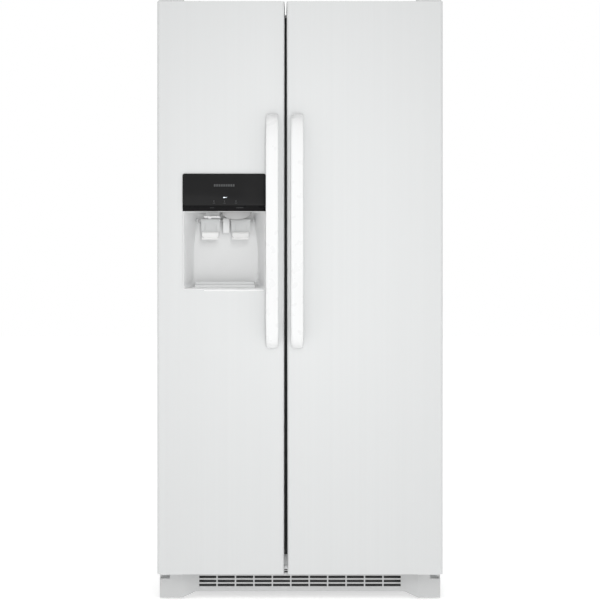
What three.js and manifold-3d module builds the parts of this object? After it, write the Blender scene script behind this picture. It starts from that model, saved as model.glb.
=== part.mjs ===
// A side-by-side refrigerator: freezer on the left, fresh food on the right, with an ice and water
// dispenser in the freezer door. Millimetres, +Z up, the doors facing -Y, the floor at z = 0, and the
// origin under the middle of the bounding box.
import * as THREE from "three";
import { mergeVertices } from "three/addons/utils/BufferGeometryUtils.js";
import Module from "manifold-3d";

const wasm = await Module();
wasm.setup();

// ---------------------------------------------------------------- driving dimensions

const WIDTH = 838;
const DOOR_BOTTOM = 83;
const DOOR_TOP = 1763;
const CABINET_TOP = 1765;
const HINGE_COVER_TOP = 1779;
const CABINET_DEPTH = 726;
const GASKET_THICKNESS = 12;
const DOOR_THICKNESS = 72;
const HANDLE_REACH = 58;
const FIT = 0.3; // gap left between pieces that touch

const DEPTH = CABINET_DEPTH + GASKET_THICKNESS + DOOR_THICKNESS + HANDLE_REACH;
const SIDE = WIDTH / 2;
const Y_REAR = DEPTH / 2;
const Y_CABINET = Y_REAR - CABINET_DEPTH; // front face of the cabinet
const Y_DOOR_BACK = Y_CABINET - GASKET_THICKNESS;
const Y_DOOR = Y_DOOR_BACK - DOOR_THICKNESS; // front face of the doors

// Doors: the gap between them is left of the middle, because the freezer is the narrower side.
const GAP_CENTRE = -42;
const GAP_WIDTH = 8.6;
const DOOR_EDGE_RADIUS = 9;
const SKIN = 1.2;
const HINGE_INSET = 22; // hinge pin in from the cabinet's side
const HINGE_SETBACK = 38; // hinge pin behind the doors' front face
const PIN_RADIUS = 6;
const PIN_HOLE_RADIUS = 7;
const PIN_LENGTH = 24;
const HINGE_X = SIDE - HINGE_INSET;
const HINGE_Y = Y_DOOR + HINGE_SETBACK;

// Cabinet walls and the two storage cavities.
const SHELL = 1.5;
const SHELL_BOTTOM = 28;
const SHELL_FLANGE = 22;
const LINER = 2.5;
const FREEZER_WALL = 52;
const FRESH_WALL = 46;
const PARTITION_HALF = 27;
const CAVITY_BOTTOM = 165;
const CAVITY_TOP = CABINET_TOP - 62;
const CAVITY_BACK = Y_REAR - 60;
const HUMP_FRONT = 150; // where the cavity floor starts to rise over the machine compartment
const HUMP_TOP = 340;
const MACHINE_FRONT = Y_REAR - 230;
const MACHINE_TOP = 290;

const FREEZER = { left: -SIDE + FREEZER_WALL, right: GAP_CENTRE - PARTITION_HALF };
const FRESH = { left: GAP_CENTRE + PARTITION_HALF, right: SIDE - FRESH_WALL };

// Storage: how far each thing stands back from the doors, so that the doors can swing clear of it.
const BIN_BACK = -206;
const SHELF_FRONT = -188;
const DRAWER_FRONT = -168;
const DRAWER_SIDE_X = HINGE_X - 52; // a drawer passes inside the open door's hinge edge
const FREEZER_BACK = 292; // the evaporator stands behind this
const FRESH_BACK = CAVITY_BACK - LINER - 8;

const FREEZER_SHELF_HEIGHTS = { upper: 1130, lower: 860 };
const FRESH_SHELF_HEIGHTS = { upper: 1390, lower: 1060 };
const CRISPER_COVER_Z = 640;
const BASKET = { bottom: 400, top: 600 };
const DELI = { bottom: 905, top: 1042 };
const UPPER_CRISPER = { bottom: 395, top: 622 };
const LOWER_CRISPER = { bottom: 168, top: 375 };

// Dispenser in the freezer door.
const DISPENSER = { left: -344, right: -100, bottom: 917, sill: 1147, top: 1257 };
const RECESS_DEPTH = 91;
const RECESS_WALL = 2.5;
const ICE_X = -188;
const ICE_PADDLE_X = -177;
const WATER_PADDLE_X = -266.5;
const PADDLE_WIDTH = 54;
const PADDLE_PIVOT = { y: Y_DOOR + 73, z: 1124 };

// Handles.
const HANDLE_WIDTH = 37;
const HANDLE_BOTTOM = 745;
const HANDLE_TOP = 1433;
const HANDLE_FROM_EDGE = 31.7;

// ---------------------------------------------------------------- materials

const material = (color, roughness, metalness = 0, opacity = 1) =>
  new THREE.MeshStandardMaterial({ color, roughness, metalness, opacity, transparent: opacity < 1 });

const WHITE_STEEL = material(0xe9ebea, 0.32);
const WHITE_PLASTIC = material(0xe6e7e6, 0.45);
const LINER_PLASTIC = material(0xf1f2f0, 0.5);
const HOUSING_PLASTIC = material(0xd9dad9, 0.5);
const BLACK_GLOSS = material(0x2a2b2b, 0.12);
const GASKET_RUBBER = material(0x3a3b3b, 0.8);
const CLEAR_PLASTIC = material(0xdfe9ee, 0.1, 0, 0.4);
const SHELF_GLASS = material(0xd5e6e4, 0.05, 0, 0.4);
const FOAM = material(0xe8d9a0, 0.95);
const GALVANISED = material(0xb4b8ba, 0.4, 0.9);
const BLACK_STEEL = material(0x1d1e1f, 0.45, 0.3);
const ALUMINIUM = material(0xc6cacc, 0.35, 0.9);
const GREY_PLASTIC = material(0x8b9092, 0.6);
const WIRE = material(0xf0f1f0, 0.4);

// ---------------------------------------------------------------- shape helpers

// A closed three.js geometry as a solid that can be joined and cut.
function solid(geometry) {
  const plain = geometry.index ? geometry.toNonIndexed() : geometry;
  const bare = new THREE.BufferGeometry().setAttribute("position", plain.getAttribute("position"));
  const merged = mergeVertices(bare, 1e-4);
  return new wasm.Manifold(
    new wasm.Mesh({
      numProp: 3,
      vertProperties: merged.attributes.position.array,
      triVerts: new Uint32Array(merged.index.array),
    }),
  );
}

const join = (...shapes) => wasm.Manifold.union(shapes);
const cut = (shape, ...tools) => shape.subtract(join(...tools));

// A box from its low and high value along each axis.
function block([x0, x1], [y0, y1], [z0, z1]) {
  const box = new THREE.BoxGeometry(x1 - x0, y1 - y0, z1 - z0);
  return solid(box.translate((x0 + x1) / 2, (y0 + y1) / 2, (z0 + z1) / 2));
}

// An outline pushed along an axis from one value to another. The outline's own two coordinates are
// y, z for axis x; x, z for axis y; and x, y for axis z.
function extrude(axis, shape, [from, to], options = {}) {
  const depth = to - from;
  const geometry = new THREE.ExtrudeGeometry(shape, {
    depth,
    bevelEnabled: false,
    curveSegments: 4,
    ...options,
  });
  const turn = new THREE.Matrix4();
  if (axis === "x") turn.set(0, 0, 1, from, 1, 0, 0, 0, 0, 1, 0, 0, 0, 0, 0, 1);
  if (axis === "y") turn.set(1, 0, 0, 0, 0, 0, -1, to, 0, 1, 0, 0, 0, 0, 0, 1);
  if (axis === "z") turn.makeTranslation(0, 0, from);
  return solid(geometry.applyMatrix4(turn));
}

const polygon = (points) => new THREE.Shape(points.map(([u, v]) => new THREE.Vector2(u, v)));

// A rectangle with round corners; radii are given anticlockwise from the low corner.
function rounded([u0, u1], [v0, v1], radius) {
  const [a, b, c, d] = Array.isArray(radius) ? radius : [radius, radius, radius, radius];
  const shape = new THREE.Shape();
  shape.moveTo(u0 + a, v0);
  shape.lineTo(u1 - b, v0);
  if (b) shape.absarc(u1 - b, v0 + b, b, -Math.PI / 2, 0);
  shape.lineTo(u1, v1 - c);
  if (c) shape.absarc(u1 - c, v1 - c, c, 0, Math.PI / 2);
  shape.lineTo(u0 + d, v1);
  if (d) shape.absarc(u0 + d, v1 - d, d, Math.PI / 2, Math.PI);
  shape.lineTo(u0, v0 + a);
  if (a) shape.absarc(u0 + a, v0 + a, a, Math.PI, 1.5 * Math.PI);
  return shape;
}

// A cylinder or cone along an axis, its middle at the given point.
function cylinder(axis, radius, length, [x, y, z] = [0, 0, 0], sides = 16, endRadius = radius) {
  const geometry = new THREE.CylinderGeometry(endRadius, radius, length, sides);
  if (axis === "x") geometry.rotateZ(-Math.PI / 2);
  if (axis === "z") geometry.rotateX(Math.PI / 2);
  return solid(geometry.translate(x, y, z));
}

// A solid skinned over rings that all have the same number of points, with flat ends.
function loft(rings) {
  const count = rings[0].length;
  const positions = rings.flat(2);
  const index = [];
  for (let i = 0; i + 1 < rings.length; i += 1) {
    for (let j = 0; j < count; j += 1) {
      const a = i * count + j;
      const b = i * count + ((j + 1) % count);
      index.push(a, b, b + count, a, b + count, a + count);
    }
  }
  const last = (rings.length - 1) * count;
  for (let j = 1; j + 1 < count; j += 1) {
    index.push(0, j + 1, j);
    index.push(last, last + j, last + j + 1);
  }
  const make = (order) => {
    const geometry = new THREE.BufferGeometry();
    geometry.setAttribute("position", new THREE.Float32BufferAttribute(positions, 3));
    geometry.setIndex(order);
    return solid(geometry);
  };
  const skinned = make(index);
  return skinned.volume() > 0 ? skinned : make([...index].reverse());
}

// A straight bar of square section between two points.
function bar(from, to, width) {
  const start = new THREE.Vector3(...from);
  const along = new THREE.Vector3(...to).sub(start);
  const geometry = new THREE.BoxGeometry(width, width, along.length());
  const turn = new THREE.Quaternion().setFromUnitVectors(
    new THREE.Vector3(0, 0, 1),
    along.clone().normalize(),
  );
  const middle = start.addScaledVector(along, 0.5);
  return solid(geometry.applyQuaternion(turn).translate(middle.x, middle.y, middle.z));
}

const range = (count) => Array.from({ length: count }, (_, i) => i);
const spread = (from, to, count) => range(count).map((i) => from + ((to - from) * i) / (count - 1));

// Adds a solid to a group as a named mesh, at a position of its own.
function add(group, name, shape, look, position = [0, 0, 0]) {
  const made = shape.getMesh();
  const geometry = new THREE.BufferGeometry();
  geometry.setAttribute("position", new THREE.BufferAttribute(made.vertProperties, 3));
  geometry.setIndex(new THREE.BufferAttribute(made.triVerts, 1));
  geometry.computeVertexNormals();
  const mesh = new THREE.Mesh(geometry, look);
  mesh.name = name;
  mesh.position.set(...position);
  group.add(mesh);
  return mesh;
}

// ---------------------------------------------------------------- cabinet

// The painted wrapper: sides and top folded from one sheet, with a flange turned in at the front.
function cabinetShell() {
  const outer = block([-SIDE, SIDE], [Y_CABINET, Y_REAR - 2], [SHELL_BOTTOM, CABINET_TOP]);
  const hollow = block(
    [-SIDE + SHELL, SIDE - SHELL],
    [Y_CABINET + SHELL, Y_REAR],
    [0, CABINET_TOP - SHELL],
  );
  const frontOpening = block(
    [-SIDE + SHELL_FLANGE, SIDE - SHELL_FLANGE],
    [Y_CABINET - 1, Y_CABINET + SHELL + 1],
    [0, CABINET_TOP - SHELL_FLANGE],
  );
  return cut(outer, hollow, frontOpening);
}

// The side outline of a storage cavity, shrunk by a margin all round except at the open front.
function cavityOutline(margin) {
  const rise = HUMP_TOP - CAVITY_BOTTOM;
  return polygon([
    [Y_CABINET - 1, CAVITY_BOTTOM + margin],
    [HUMP_FRONT - margin, CAVITY_BOTTOM + margin],
    [HUMP_FRONT + rise / 4 - margin, HUMP_TOP + margin],
    [CAVITY_BACK - margin, HUMP_TOP + margin],
    [CAVITY_BACK - margin, CAVITY_TOP - margin],
    [Y_CABINET - 1, CAVITY_TOP - margin],
  ]);
}

const cavity = ({ left, right }, margin) =>
  extrude("x", cavityOutline(margin), [left + margin, right - margin]);

function insulation() {
  const body = block(
    [-SIDE + SHELL + FIT, SIDE - SHELL - FIT],
    [Y_CABINET + LINER + FIT, Y_REAR - 2 - FIT],
    [DOOR_BOTTOM, CABINET_TOP - SHELL - FIT],
  );
  const machineSpace = block([-SIDE, SIDE], [MACHINE_FRONT, Y_REAR], [0, MACHINE_TOP]);
  return cut(body, cavity(FREEZER, -FIT), cavity(FRESH, -FIT), machineSpace);
}

// A one-piece plastic tub with a flat flange round its mouth and ledges moulded on both side walls.
function liner(space, [flangeLeft, flangeRight], ledges) {
  const flange = block(
    [flangeLeft, flangeRight],
    [Y_CABINET, Y_CABINET + LINER],
    [DOOR_BOTTOM + FIT, CABINET_TOP - SHELL_FLANGE - FIT],
  );
  const tub = cut(join(flange, cavity(space, 0).intersect(inFrontOf())), cavity(space, LINER));
  const ledge = ({ z, back, reach = [16, 16], front = SHELF_FRONT + 14 }) => {
    const wall = LINER / 2;
    return [
      block([space.left + wall, space.left + LINER + reach[0]], [front, back], [z - 8, z]),
      block([space.right - LINER - reach[1], space.right - wall], [front, back], [z - 8, z]),
    ];
  };
  return join(tub, ...ledges.flatMap(ledge));
}

// Everything behind the cabinet's front face, to trim a cavity that runs out past it.
const inFrontOf = () => block([-SIDE, SIDE], [Y_CABINET, Y_REAR], [0, CABINET_TOP]);

function basePan() {
  const rail = (sign) => {
    const outer = SIDE - SHELL - FIT;
    const x = [sign * outer, sign * (outer - 2)].sort((a, b) => a - b);
    return [
      block(x, [Y_CABINET + 8, Y_REAR - 4], [30, DOOR_BOTTOM - FIT]),
      block(x, [REAR_ROLLER.y - 14, REAR_ROLLER.y + 14], [12, 45]),
    ];
  };
  const inner = SIDE - SHELL - FIT - 1;
  const floor = extrude(
    "x",
    polygon([
      [Y_CABINET + 8, 58],
      [MACHINE_FRONT - 20, 58],
      [MACHINE_FRONT, 40],
      [Y_REAR - 4, 40],
      [Y_REAR - 4, 42],
      [MACHINE_FRONT + 1, 42],
      [MACHINE_FRONT - 19, 60],
      [Y_CABINET + 8, 60],
    ]),
    [-inner, inner],
  );
  const forks = [-1, 1].flatMap((sign) => {
    const middle = sign * REAR_ROLLER.x;
    const reach = REAR_ROLLER.width / 2 + 6;
    const inside = middle - sign * reach;
    const outside = sign * (SIDE - SHELL - FIT - 1);
    const axle = Math.abs(outside - inside);
    return [
      block([inside - 1, inside + 1], [REAR_ROLLER.y - 14, REAR_ROLLER.y + 14], [12, 41]),
      cylinder("x", 4, axle, [(inside + outside) / 2, REAR_ROLLER.y, REAR_ROLLER.radius], 12),
    ];
  });
  const wells = [-1, 1].map((sign) =>
    block(
      [sign * REAR_ROLLER.x - 13, sign * REAR_ROLLER.x + 13],
      [REAR_ROLLER.y - 24, Y_REAR],
      [36, 46],
    ),
  );
  const legHoles = [-1, 1].map((sign) =>
    cylinder("z", 5.6, 20, [sign * LEG.x, LEG.y, 59], 12),
  );
  return join(cut(join(floor, ...rail(-1), ...rail(1)), ...wells, ...legHoles), ...forks);
}

const REAR_ROLLER = { x: 396, y: 398, radius: 20, width: 18 };
const LEG = { x: 372, y: -252, padRadius: 18 };

function roller() {
  const { radius, width } = REAR_ROLLER;
  return cut(cylinder("x", radius, width, [0, 0, 0], 24), cylinder("x", 4.5, width + 2, [0, 0, 0], 12));
}

// A screw stem on a swivelling pad, turned about its own axis.
function levellingLeg() {
  const profile = [
    [0, 0],
    [LEG.padRadius, 0],
    [LEG.padRadius, 4],
    [12, 9],
    [5, 11],
    [5, 76],
    [0, 76],
  ];
  return lathe(profile, 16);
}

// A profile of [radius, height] points turned about the z axis.
function lathe(profile, sides) {
  const points = profile.map(([r, z]) => new THREE.Vector2(r, z));
  return solid(new THREE.LatheGeometry(points, sides).rotateX(Math.PI / 2));
}

// Toe grille: a louvred strip set back between two end blocks that hide the levelling legs.
function toeGrille() {
  const end = SIDE - 3;
  const louvreY = Y_CABINET - 9;
  const blockY = Y_CABINET - 34;
  const bottom = 18;
  const top = DOOR_BOTTOM - 9;
  const plan = polygon([
    [-end, blockY],
    [-end + 66, blockY],
    [-end + 112, louvreY],
    [end - 112, louvreY],
    [end - 66, blockY],
    [end, blockY],
    [end, Y_CABINET - 1],
    [end - 3, Y_CABINET - 1],
    [end - 3, blockY + 3],
    [end - 65, blockY + 3],
    [end - 111, louvreY + 3],
    [-end + 111, louvreY + 3],
    [-end + 65, blockY + 3],
    [-end + 3, blockY + 3],
    [-end + 3, Y_CABINET - 1],
    [-end, Y_CABINET - 1],
  ]);
  const strip = extrude("z", plan, [4, top]);
  const underCut = extrude(
    "y",
    polygon([
      [-end + 66, 0],
      [-end + 104, bottom],
      [end - 104, bottom],
      [end - 66, 0],
    ]),
    [blockY - 1, Y_CABINET],
  );
  const notch = (sign) =>
    block(
      [sign * (end - 14) - 16, sign * (end - 14) + 16],
      [blockY - 1, Y_CABINET],
      [top - 13, top + 1],
    );
  const pitch = 55;
  const columns = 11;
  const slots = range(columns).flatMap((i) => {
    const x = (i - (columns - 1) / 2) * pitch;
    return [37, 49, 61].map((z) =>
      block([x - pitch / 2 + 2, x + pitch / 2 - 2], [louvreY - 2, louvreY + 5], [z - 3.2, z + 3.2]),
    );
  });
  return cut(strip, underCut, notch(-1), notch(1), ...slots);
}

// ---------------------------------------------------------------- hinges

// The top hinge plate lies on the cabinet and carries a pin that points down into the door.
function topHinge(sign) {
  const z = CABINET_TOP + FIT;
  const x = [sign * (SIDE - 6), sign * (SIDE - 70)].sort((a, b) => a - b);
  const plate = extrude("z", rounded(x, [HINGE_Y - 16, Y_CABINET + 96], 8), [z, z + 3], {
    curveSegments: 3,
  });
  const pin = cylinder(
    "z",
    PIN_RADIUS,
    PIN_LENGTH + 2,
    [sign * HINGE_X, HINGE_Y, z + 1 - PIN_LENGTH / 2],
    16,
  );
  return join(plate, pin);
}

function hingeCover(sign) {
  const x = [sign * (SIDE - 2), sign * (SIDE - 76)].sort((a, b) => a - b);
  const y = [HINGE_Y - 21, Y_CABINET + 104];
  const grow = ([a, b], by) => [a - by, b + by];
  const shape = extrude("z", rounded(x, y, 12), [CABINET_TOP + 2 * FIT, HINGE_COVER_TOP]);
  const hollow = extrude(
    "z",
    rounded(grow(x, -2.5), grow(y, -2.5), 9.5),
    [CABINET_TOP, HINGE_COVER_TOP - 2.5],
  );
  return cut(shape, hollow);
}

// The bottom hinge bracket is bolted to the cabinet's foot and carries a pin that points up.
function bottomHinge(sign) {
  const x = [sign * (SIDE - 4), sign * (SIDE - 74)].sort((a, b) => a - b);
  const top = DOOR_BOTTOM - 2;
  const shelf = extrude("z", rounded(x, [HINGE_Y - 14, Y_CABINET - FIT], [8, 8, 0, 0]), [top - 4, top], {
    curveSegments: 3,
  });
  const web = block(
    [Math.min(...x) + 5, Math.max(...x) - 5],
    [Y_CABINET - FIT - 4, Y_CABINET - FIT],
    [44, top],
  );
  const washer = cylinder("z", 10, 2.7, [sign * HINGE_X, HINGE_Y, top + 0.35], 16);
  const pin = cylinder(
    "z",
    PIN_RADIUS,
    PIN_LENGTH + 2,
    [sign * HINGE_X, HINGE_Y, top - 2 + PIN_LENGTH / 2],
    16,
  );
  return join(shelf, web, pin, washer);
}

// ---------------------------------------------------------------- refrigeration

function rearPanel() {
  const sheet = block([-SIDE + 2, SIDE - 2], [Y_REAR - 2 + FIT, Y_REAR], [MACHINE_TOP + 6, CABINET_TOP - 2]);
  return sheet;
}

function machineCover() {
  const sheet = block([-SIDE + 2, SIDE - 2], [Y_REAR - 2 + FIT, Y_REAR], [46, MACHINE_TOP + 4]);
  const vents = [-1, 1].flatMap((sign) =>
    range(7).map((i) => {
      const x = sign * 250;
      return block([x - 100, x + 100], [Y_REAR - 5, Y_REAR + 1], [100 + i * 22, 108 + i * 22]);
    }),
  );
  return cut(sheet, ...vents);
}

const COMPRESSOR = { x: 235, y: 318 };

function compressor() {
  const shell = lathe(
    [
      [0, 62],
      [42, 66],
      [72, 84],
      [80, 110],
      [80, 150],
      [70, 186],
      [40, 208],
      [0, 214],
    ],
    20,
  );
  const feet = block([-92, 92], [-52, 52], [60, 72]);
  const posts = [-1, 1].flatMap((u) =>
    [-1, 1].map((v) => cylinder("z", 9, 24, [u * 78, v * 40, 54.5], 8)),
  );
  const terminals = block([-86, -50], [-30, 30], [110, 170]);
  const stub = cylinder("z", 4, 60, [20, 20, 225], 8);
  return join(shell, feet, ...posts, terminals, stub);
}

// Condenser: a folded tube between finned end sheets, with the fan's shroud and motor bracket.
const CONDENSER = { x: [-360, -190], y: [225, 400], z: [44, 250] };
const FAN_SHROUD_X = -110;
const FAN_Y = 312;
const FAN_Z = 150;

function condenserUnit() {
  const { x, y, z } = CONDENSER;
  const sheets = spread(x[0], x[1], 5).map((at) => block([at - 1, at + 1], y, z));
  const rows = spread(y[0] + 34, y[1] - 34, 3);
  const levels = spread(z[0] + 30, z[1] - 30, 4);
  const tubes = rows.flatMap((at) =>
    levels.map((level) => bar([x[0] - 12, at, level], [x[1] + 12, at, level], 9)),
  );
  const returns = rows.flatMap((at) =>
    range(levels.length - 1).map((i) => {
      const end = i % 2 ? x[0] - 10 : x[1] + 10;
      return block([end - 4, end + 4], [at - 4, at + 4], [levels[i], levels[i + 1]]);
    }),
  );
  const shroud = cut(
    block([FAN_SHROUD_X - 3, FAN_SHROUD_X], [y[0], y[1]], z),
    cylinder("x", 76, 20, [FAN_SHROUD_X, FAN_Y, FAN_Z], 20),
  );
  const tie = block([x[1] - 1, FAN_SHROUD_X], y, [z[0], z[0] + 3]);
  const arms = block([FAN_SHROUD_X - 3, FAN_SHROUD_X], [FAN_Y - 7, FAN_Y + 7], z);
  const motor = cylinder("x", 22, 36, [FAN_SHROUD_X - 18, FAN_Y, FAN_Z], 14);
  const shaft = cylinder("x", 3, 26, [FAN_SHROUD_X + 11, FAN_Y, FAN_Z], 10);
  return join(...sheets, ...tubes, ...returns, shroud, tie, arms, motor, shaft);
}

// A fan with twisted blades round a hub, turning about the x axis.
function fan(radius, hubRadius, blades, thickness) {
  const hub = cylinder("x", hubRadius, 20, [0, 0, 0], 12);
  const bore = cylinder("x", 3.6, 24, [0, 0, 0], 10);
  const blade = (angle) => {
    const box = new THREE.BoxGeometry(thickness, radius - hubRadius / 2, radius * 0.55);
    box.rotateY(0.55);
    box.translate(0, (radius + hubRadius / 2) / 2 - 2, 0);
    return solid(box.rotateX(angle));
  };
  const parts = range(blades).map((i) => blade((i * 2 * Math.PI) / blades));
  return cut(join(hub, ...parts), bore);
}

const EVAPORATOR = { x: [-350, -86], y: [316, 366], z: [420, 820] };
const EVAPORATOR_FAN = { x: -218, y: 325, z: 930 };

function evaporator() {
  const { x, y, z } = EVAPORATOR;
  const sheets = spread(x[0] + 4, x[1] - 4, 7).map((at) => block([at - 1, at + 1], y, z));
  const levels = spread(z[0] + 34, z[1] - 34, 6);
  const middle = (y[0] + y[1]) / 2;
  const tubes = levels.map((level) => bar([x[0], middle, level], [x[1], middle, level], 9));
  const returns = range(levels.length - 1).map((i) => {
    const end = i % 2 ? x[0] + 2 : x[1] - 2;
    return block([end - 2, end + 2], [middle - 4, middle + 4], [levels[i], levels[i + 1]]);
  });
  return join(...sheets, ...tubes, ...returns);
}

// The freezer's inner back wall. It ducts air over the evaporator and carries the fan's motor.
function evaporatorCover() {
  const y = [FREEZER_BACK + 6, FREEZER_BACK + 9];
  const sheet = block(
    [FREEZER.left + LINER + 1, FREEZER.right - LINER - 1],
    y,
    [HUMP_TOP + LINER + FIT, CAVITY_TOP - LINER - 2],
  );
  const slots = range(7).map((i) => {
    const z = EVAPORATOR_FAN.z - 54 + i * 18;
    const half = Math.sqrt(64 ** 2 - (z - EVAPORATOR_FAN.z) ** 2);
    const x = [EVAPORATOR_FAN.x - half, EVAPORATOR_FAN.x + half];
    return block(x, [y[0] - 1, y[1] + 1], [z - 5, z + 5]);
  });
  const intake = range(6).map((i) => {
    const x = EVAPORATOR_FAN.x - 110 + i * 44;
    return block([x - 16, x + 16], [y[0] - 1, y[1] + 1], [370, 384]);
  });
  const { x, z } = EVAPORATOR_FAN;
  const motor = cylinder("y", 15, 12, [x, y[1] + 3, z], 14);
  const shaft = cylinder("y", 3, 30, [x, y[1] + 15, z], 10);
  return join(cut(sheet, ...slots, ...intake), motor, shaft);
}

// ---------------------------------------------------------------- ice making

const ICE_BIN = { x: [-352, -84], y: [-250, 150], z: [1316, 1530] };
const AUGER = { x: -218, y: -20, z: 1362, radius: 34, length: 330 };

// The mould, its drive housing in front and the water fill cup, hung under the freezer's ceiling.
function iceMaker() {
  const hood = cut(
    block([-330, -108], [-20, 210], [1602, 1690]),
    block([-320, -100], [-19, 200], [1600, 1680]),
  );
  const mould = cut(
    block([-328, -150], [-21, 210], [1566, 1604]),
    ...range(7).map((i) => block([-316, -162], [-12 + i * 31, 12 + i * 31], [1576, 1610])),
  );
  const drive = block([-330, -108], [-62, -18], [1580, 1690]);
  return join(hood, mould, drive);
}

// The ice bucket: an open-topped tub with a drop hole over the door's chute.
function iceBin() {
  const { x, y, z } = ICE_BIN;
  const wall = 3;
  const outer = extrude("y", rounded(x, z, [26, 26, 0, 0]), y);
  const inner = extrude(
    "y",
    rounded([x[0] + wall, x[1] - wall], [z[0] + wall, z[1] + 5], [23, 23, 0, 0]),
    [y[0] + wall, y[1] - wall],
  );
  const drop = block([ICE_X - 40, ICE_X + 40], [y[0] + 12, y[0] + 74], [z[0] - 2, z[0] + wall + 2]);
  const bearing = cylinder("y", 7, 20, [AUGER.x, y[1], AUGER.z], 12);
  return cut(outer, inner, drop, bearing);
}

// A screw on a shaft along y that pushes the ice towards the drop hole.
function auger() {
  const shaft = cylinder("y", 6, AUGER.length + 24, [0, 0, 0], 12);
  const turns = 4;
  const steps = turns * 12;
  const thickness = 5;
  const corners = (i) => {
    const angle = (i / steps) * turns * 2 * Math.PI;
    const y = (i / steps - 0.5) * (AUGER.length - thickness) - thickness / 2;
    const at = (radius, offset) => [radius * Math.cos(angle), y + offset, radius * Math.sin(angle)];
    return [at(4, 0), at(AUGER.radius, 0), at(AUGER.radius, thickness), at(4, thickness)];
  };
  return join(shaft, loft(range(steps + 1).map(corners)));
}

// ---------------------------------------------------------------- shelves and drawers

// A freezer shelf of welded wire: a rim, two cross rails and a row of thin rods.
function wireShelf() {
  const left = FREEZER.left + LINER + 3;
  const right = FREEZER.right - LINER - 3;
  const rim = [
    bar([left, SHELF_FRONT + 4, 4], [right, SHELF_FRONT + 4, 4], 8),
    bar([left, FREEZER_BACK - 4, 4], [right, FREEZER_BACK - 4, 4], 8),
    bar([left + 4, SHELF_FRONT, 4], [left + 4, FREEZER_BACK, 4], 8),
    bar([right - 4, SHELF_FRONT, 4], [right - 4, FREEZER_BACK, 4], 8),
  ];
  const rods = spread(left + 26, right - 26, 9).map((x) =>
    bar([x, SHELF_FRONT + 2, 6.5], [x, FREEZER_BACK - 2, 6.5], 3.4),
  );
  const braces = [-20, 140].map((y) => bar([left + 2, y, 3], [right - 2, y, 3], 4.5));
  return join(...rim, ...rods, ...braces);
}

// A spill-proof glass shelf in a moulded rim, with a deeper front trim.
function glassShelf() {
  const left = FRESH.left + LINER + 3;
  const right = FRESH.right - LINER - 3;
  const rim = block([left, right], [SHELF_FRONT, FRESH_BACK], [0, 12]);
  const trim = block([left, right], [SHELF_FRONT, SHELF_FRONT + 10], [-8, 14]);
  const well = block([left + 16, right - 16], [SHELF_FRONT + 16, FRESH_BACK - 16], [8, 20]);
  return cut(join(rim, trim), well);
}

// An open-topped drawer with a pull lip along its front. Its depth is set by the wall behind it.
function drawer([x0, x1], { bottom, top }, back) {
  const wall = 3;
  const front = DRAWER_FRONT;
  const tub = cut(
    extrude("y", rounded([x0, x1], [bottom, top - 12], [16, 16, 0, 0]), [front + 8, back]),
    extrude(
      "y",
      rounded([x0 + wall, x1 - wall], [bottom + wall, top + 9], [13, 13, 0, 0]),
      [front + 8 + wall, back - wall],
    ),
  );
  const face = block([x0 - 4, x1 + 4], [front + 2, front + 8.5], [bottom, top]);
  const lip = extrude(
    "x",
    polygon([
      [front + 3, top],
      [front + 3, top - 10],
      [front - 10, top - 16],
      [front - 14, top - 10],
      [front - 8, top],
    ]),
    [x0 + 30, x1 - 30],
  );
  return join(tub, face, lip);
}

// A wire basket: rim, upright rods and floor rods.
function wireBasket([x0, x1], { bottom, top }) {
  const front = DRAWER_FRONT;
  const back = FREEZER_BACK - 6;
  const thick = 6;
  const thin = 3.4;
  const rim = [
    bar([x0, front, top], [x1, front, top], thick),
    bar([x0, back, top], [x1, back, top], thick),
    bar([x0, front, top], [x0, back, top], thick),
    bar([x1, front, top], [x1, back, top], thick),
    bar([x0, front, bottom], [x1, front, bottom], thick),
    bar([x0, back, bottom], [x1, back, bottom], thick),
    bar([x0, front, bottom], [x0, back, bottom], thick),
    bar([x1, front, bottom], [x1, back, bottom], thick),
  ];
  const across = spread(x0, x1, 8).flatMap((x) => [
    bar([x, front, bottom], [x, back, bottom], thin),
    bar([x, front, bottom], [x, front, top], thin),
    bar([x, back, bottom], [x, back, top], thin),
  ]);
  const along = spread(front + 56, back - 56, 6).flatMap((y) => [
    bar([x0, y, bottom], [x0, y, top], thin),
    bar([x1, y, bottom], [x1, y, top], thin),
  ]);
  const corners = [x0, x1].flatMap((x) => [front, back].map((y) => bar([x, y, bottom], [x, y, top], thick)));
  return join(...rim, ...across, ...along, ...corners);
}

// Crisper cover: a glass shelf on two side panels that stand on the cavity's floor. Rails on the
// panels carry the upper crisper.
function crisperCover() {
  const left = FRESH.left + LINER + 1;
  const right = FRESH.right - LINER - 1;
  const z = CRISPER_COVER_Z;
  const top = block([left, right], [SHELF_FRONT, FRESH_BACK], [z - 12, z]);
  const well = block([left + 16, right - 16], [SHELF_FRONT + 16, FRESH_BACK - 16], [z - 4, z + 5]);
  const side = (x) => [
    block(x, [SHELF_FRONT + 24, HUMP_FRONT - 16], [CAVITY_BOTTOM + LINER + FIT, z - 6]),
    block(x, [SHELF_FRONT + 24, FRESH_BACK - 4], [HUMP_TOP + LINER + FIT, z - 6]),
  ];
  const railZ = [UPPER_CRISPER.bottom - 8, UPPER_CRISPER.bottom - FIT];
  const rail = (x) => block(x, [SHELF_FRONT + 24, FRESH_BACK - 4], railZ);
  return join(
    cut(top, well),
    ...side([left, CRISPER_X[0] - 5.5]),
    ...side([CRISPER_X[1] + 5.5, right]),
    rail([left, CRISPER_X[0] + 22]),
    rail([CRISPER_X[1] - 22, right]),
  );
}

const CRISPER_X = [FRESH.left + LINER + 12, DRAWER_SIDE_X];
const BASKET_X = [-DRAWER_SIDE_X, FREEZER.right - LINER - 14];

// Controls: a housing under the fresh food ceiling, with a slotted lamp cover and two knobs.
const CONTROL = { x: [60, 300], y: [-150, 40], z: [1650, CAVITY_TOP - LINER - FIT] };
const KNOB = { radius: 17, length: 15, z: 1677, x: [125, 235] };

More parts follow.
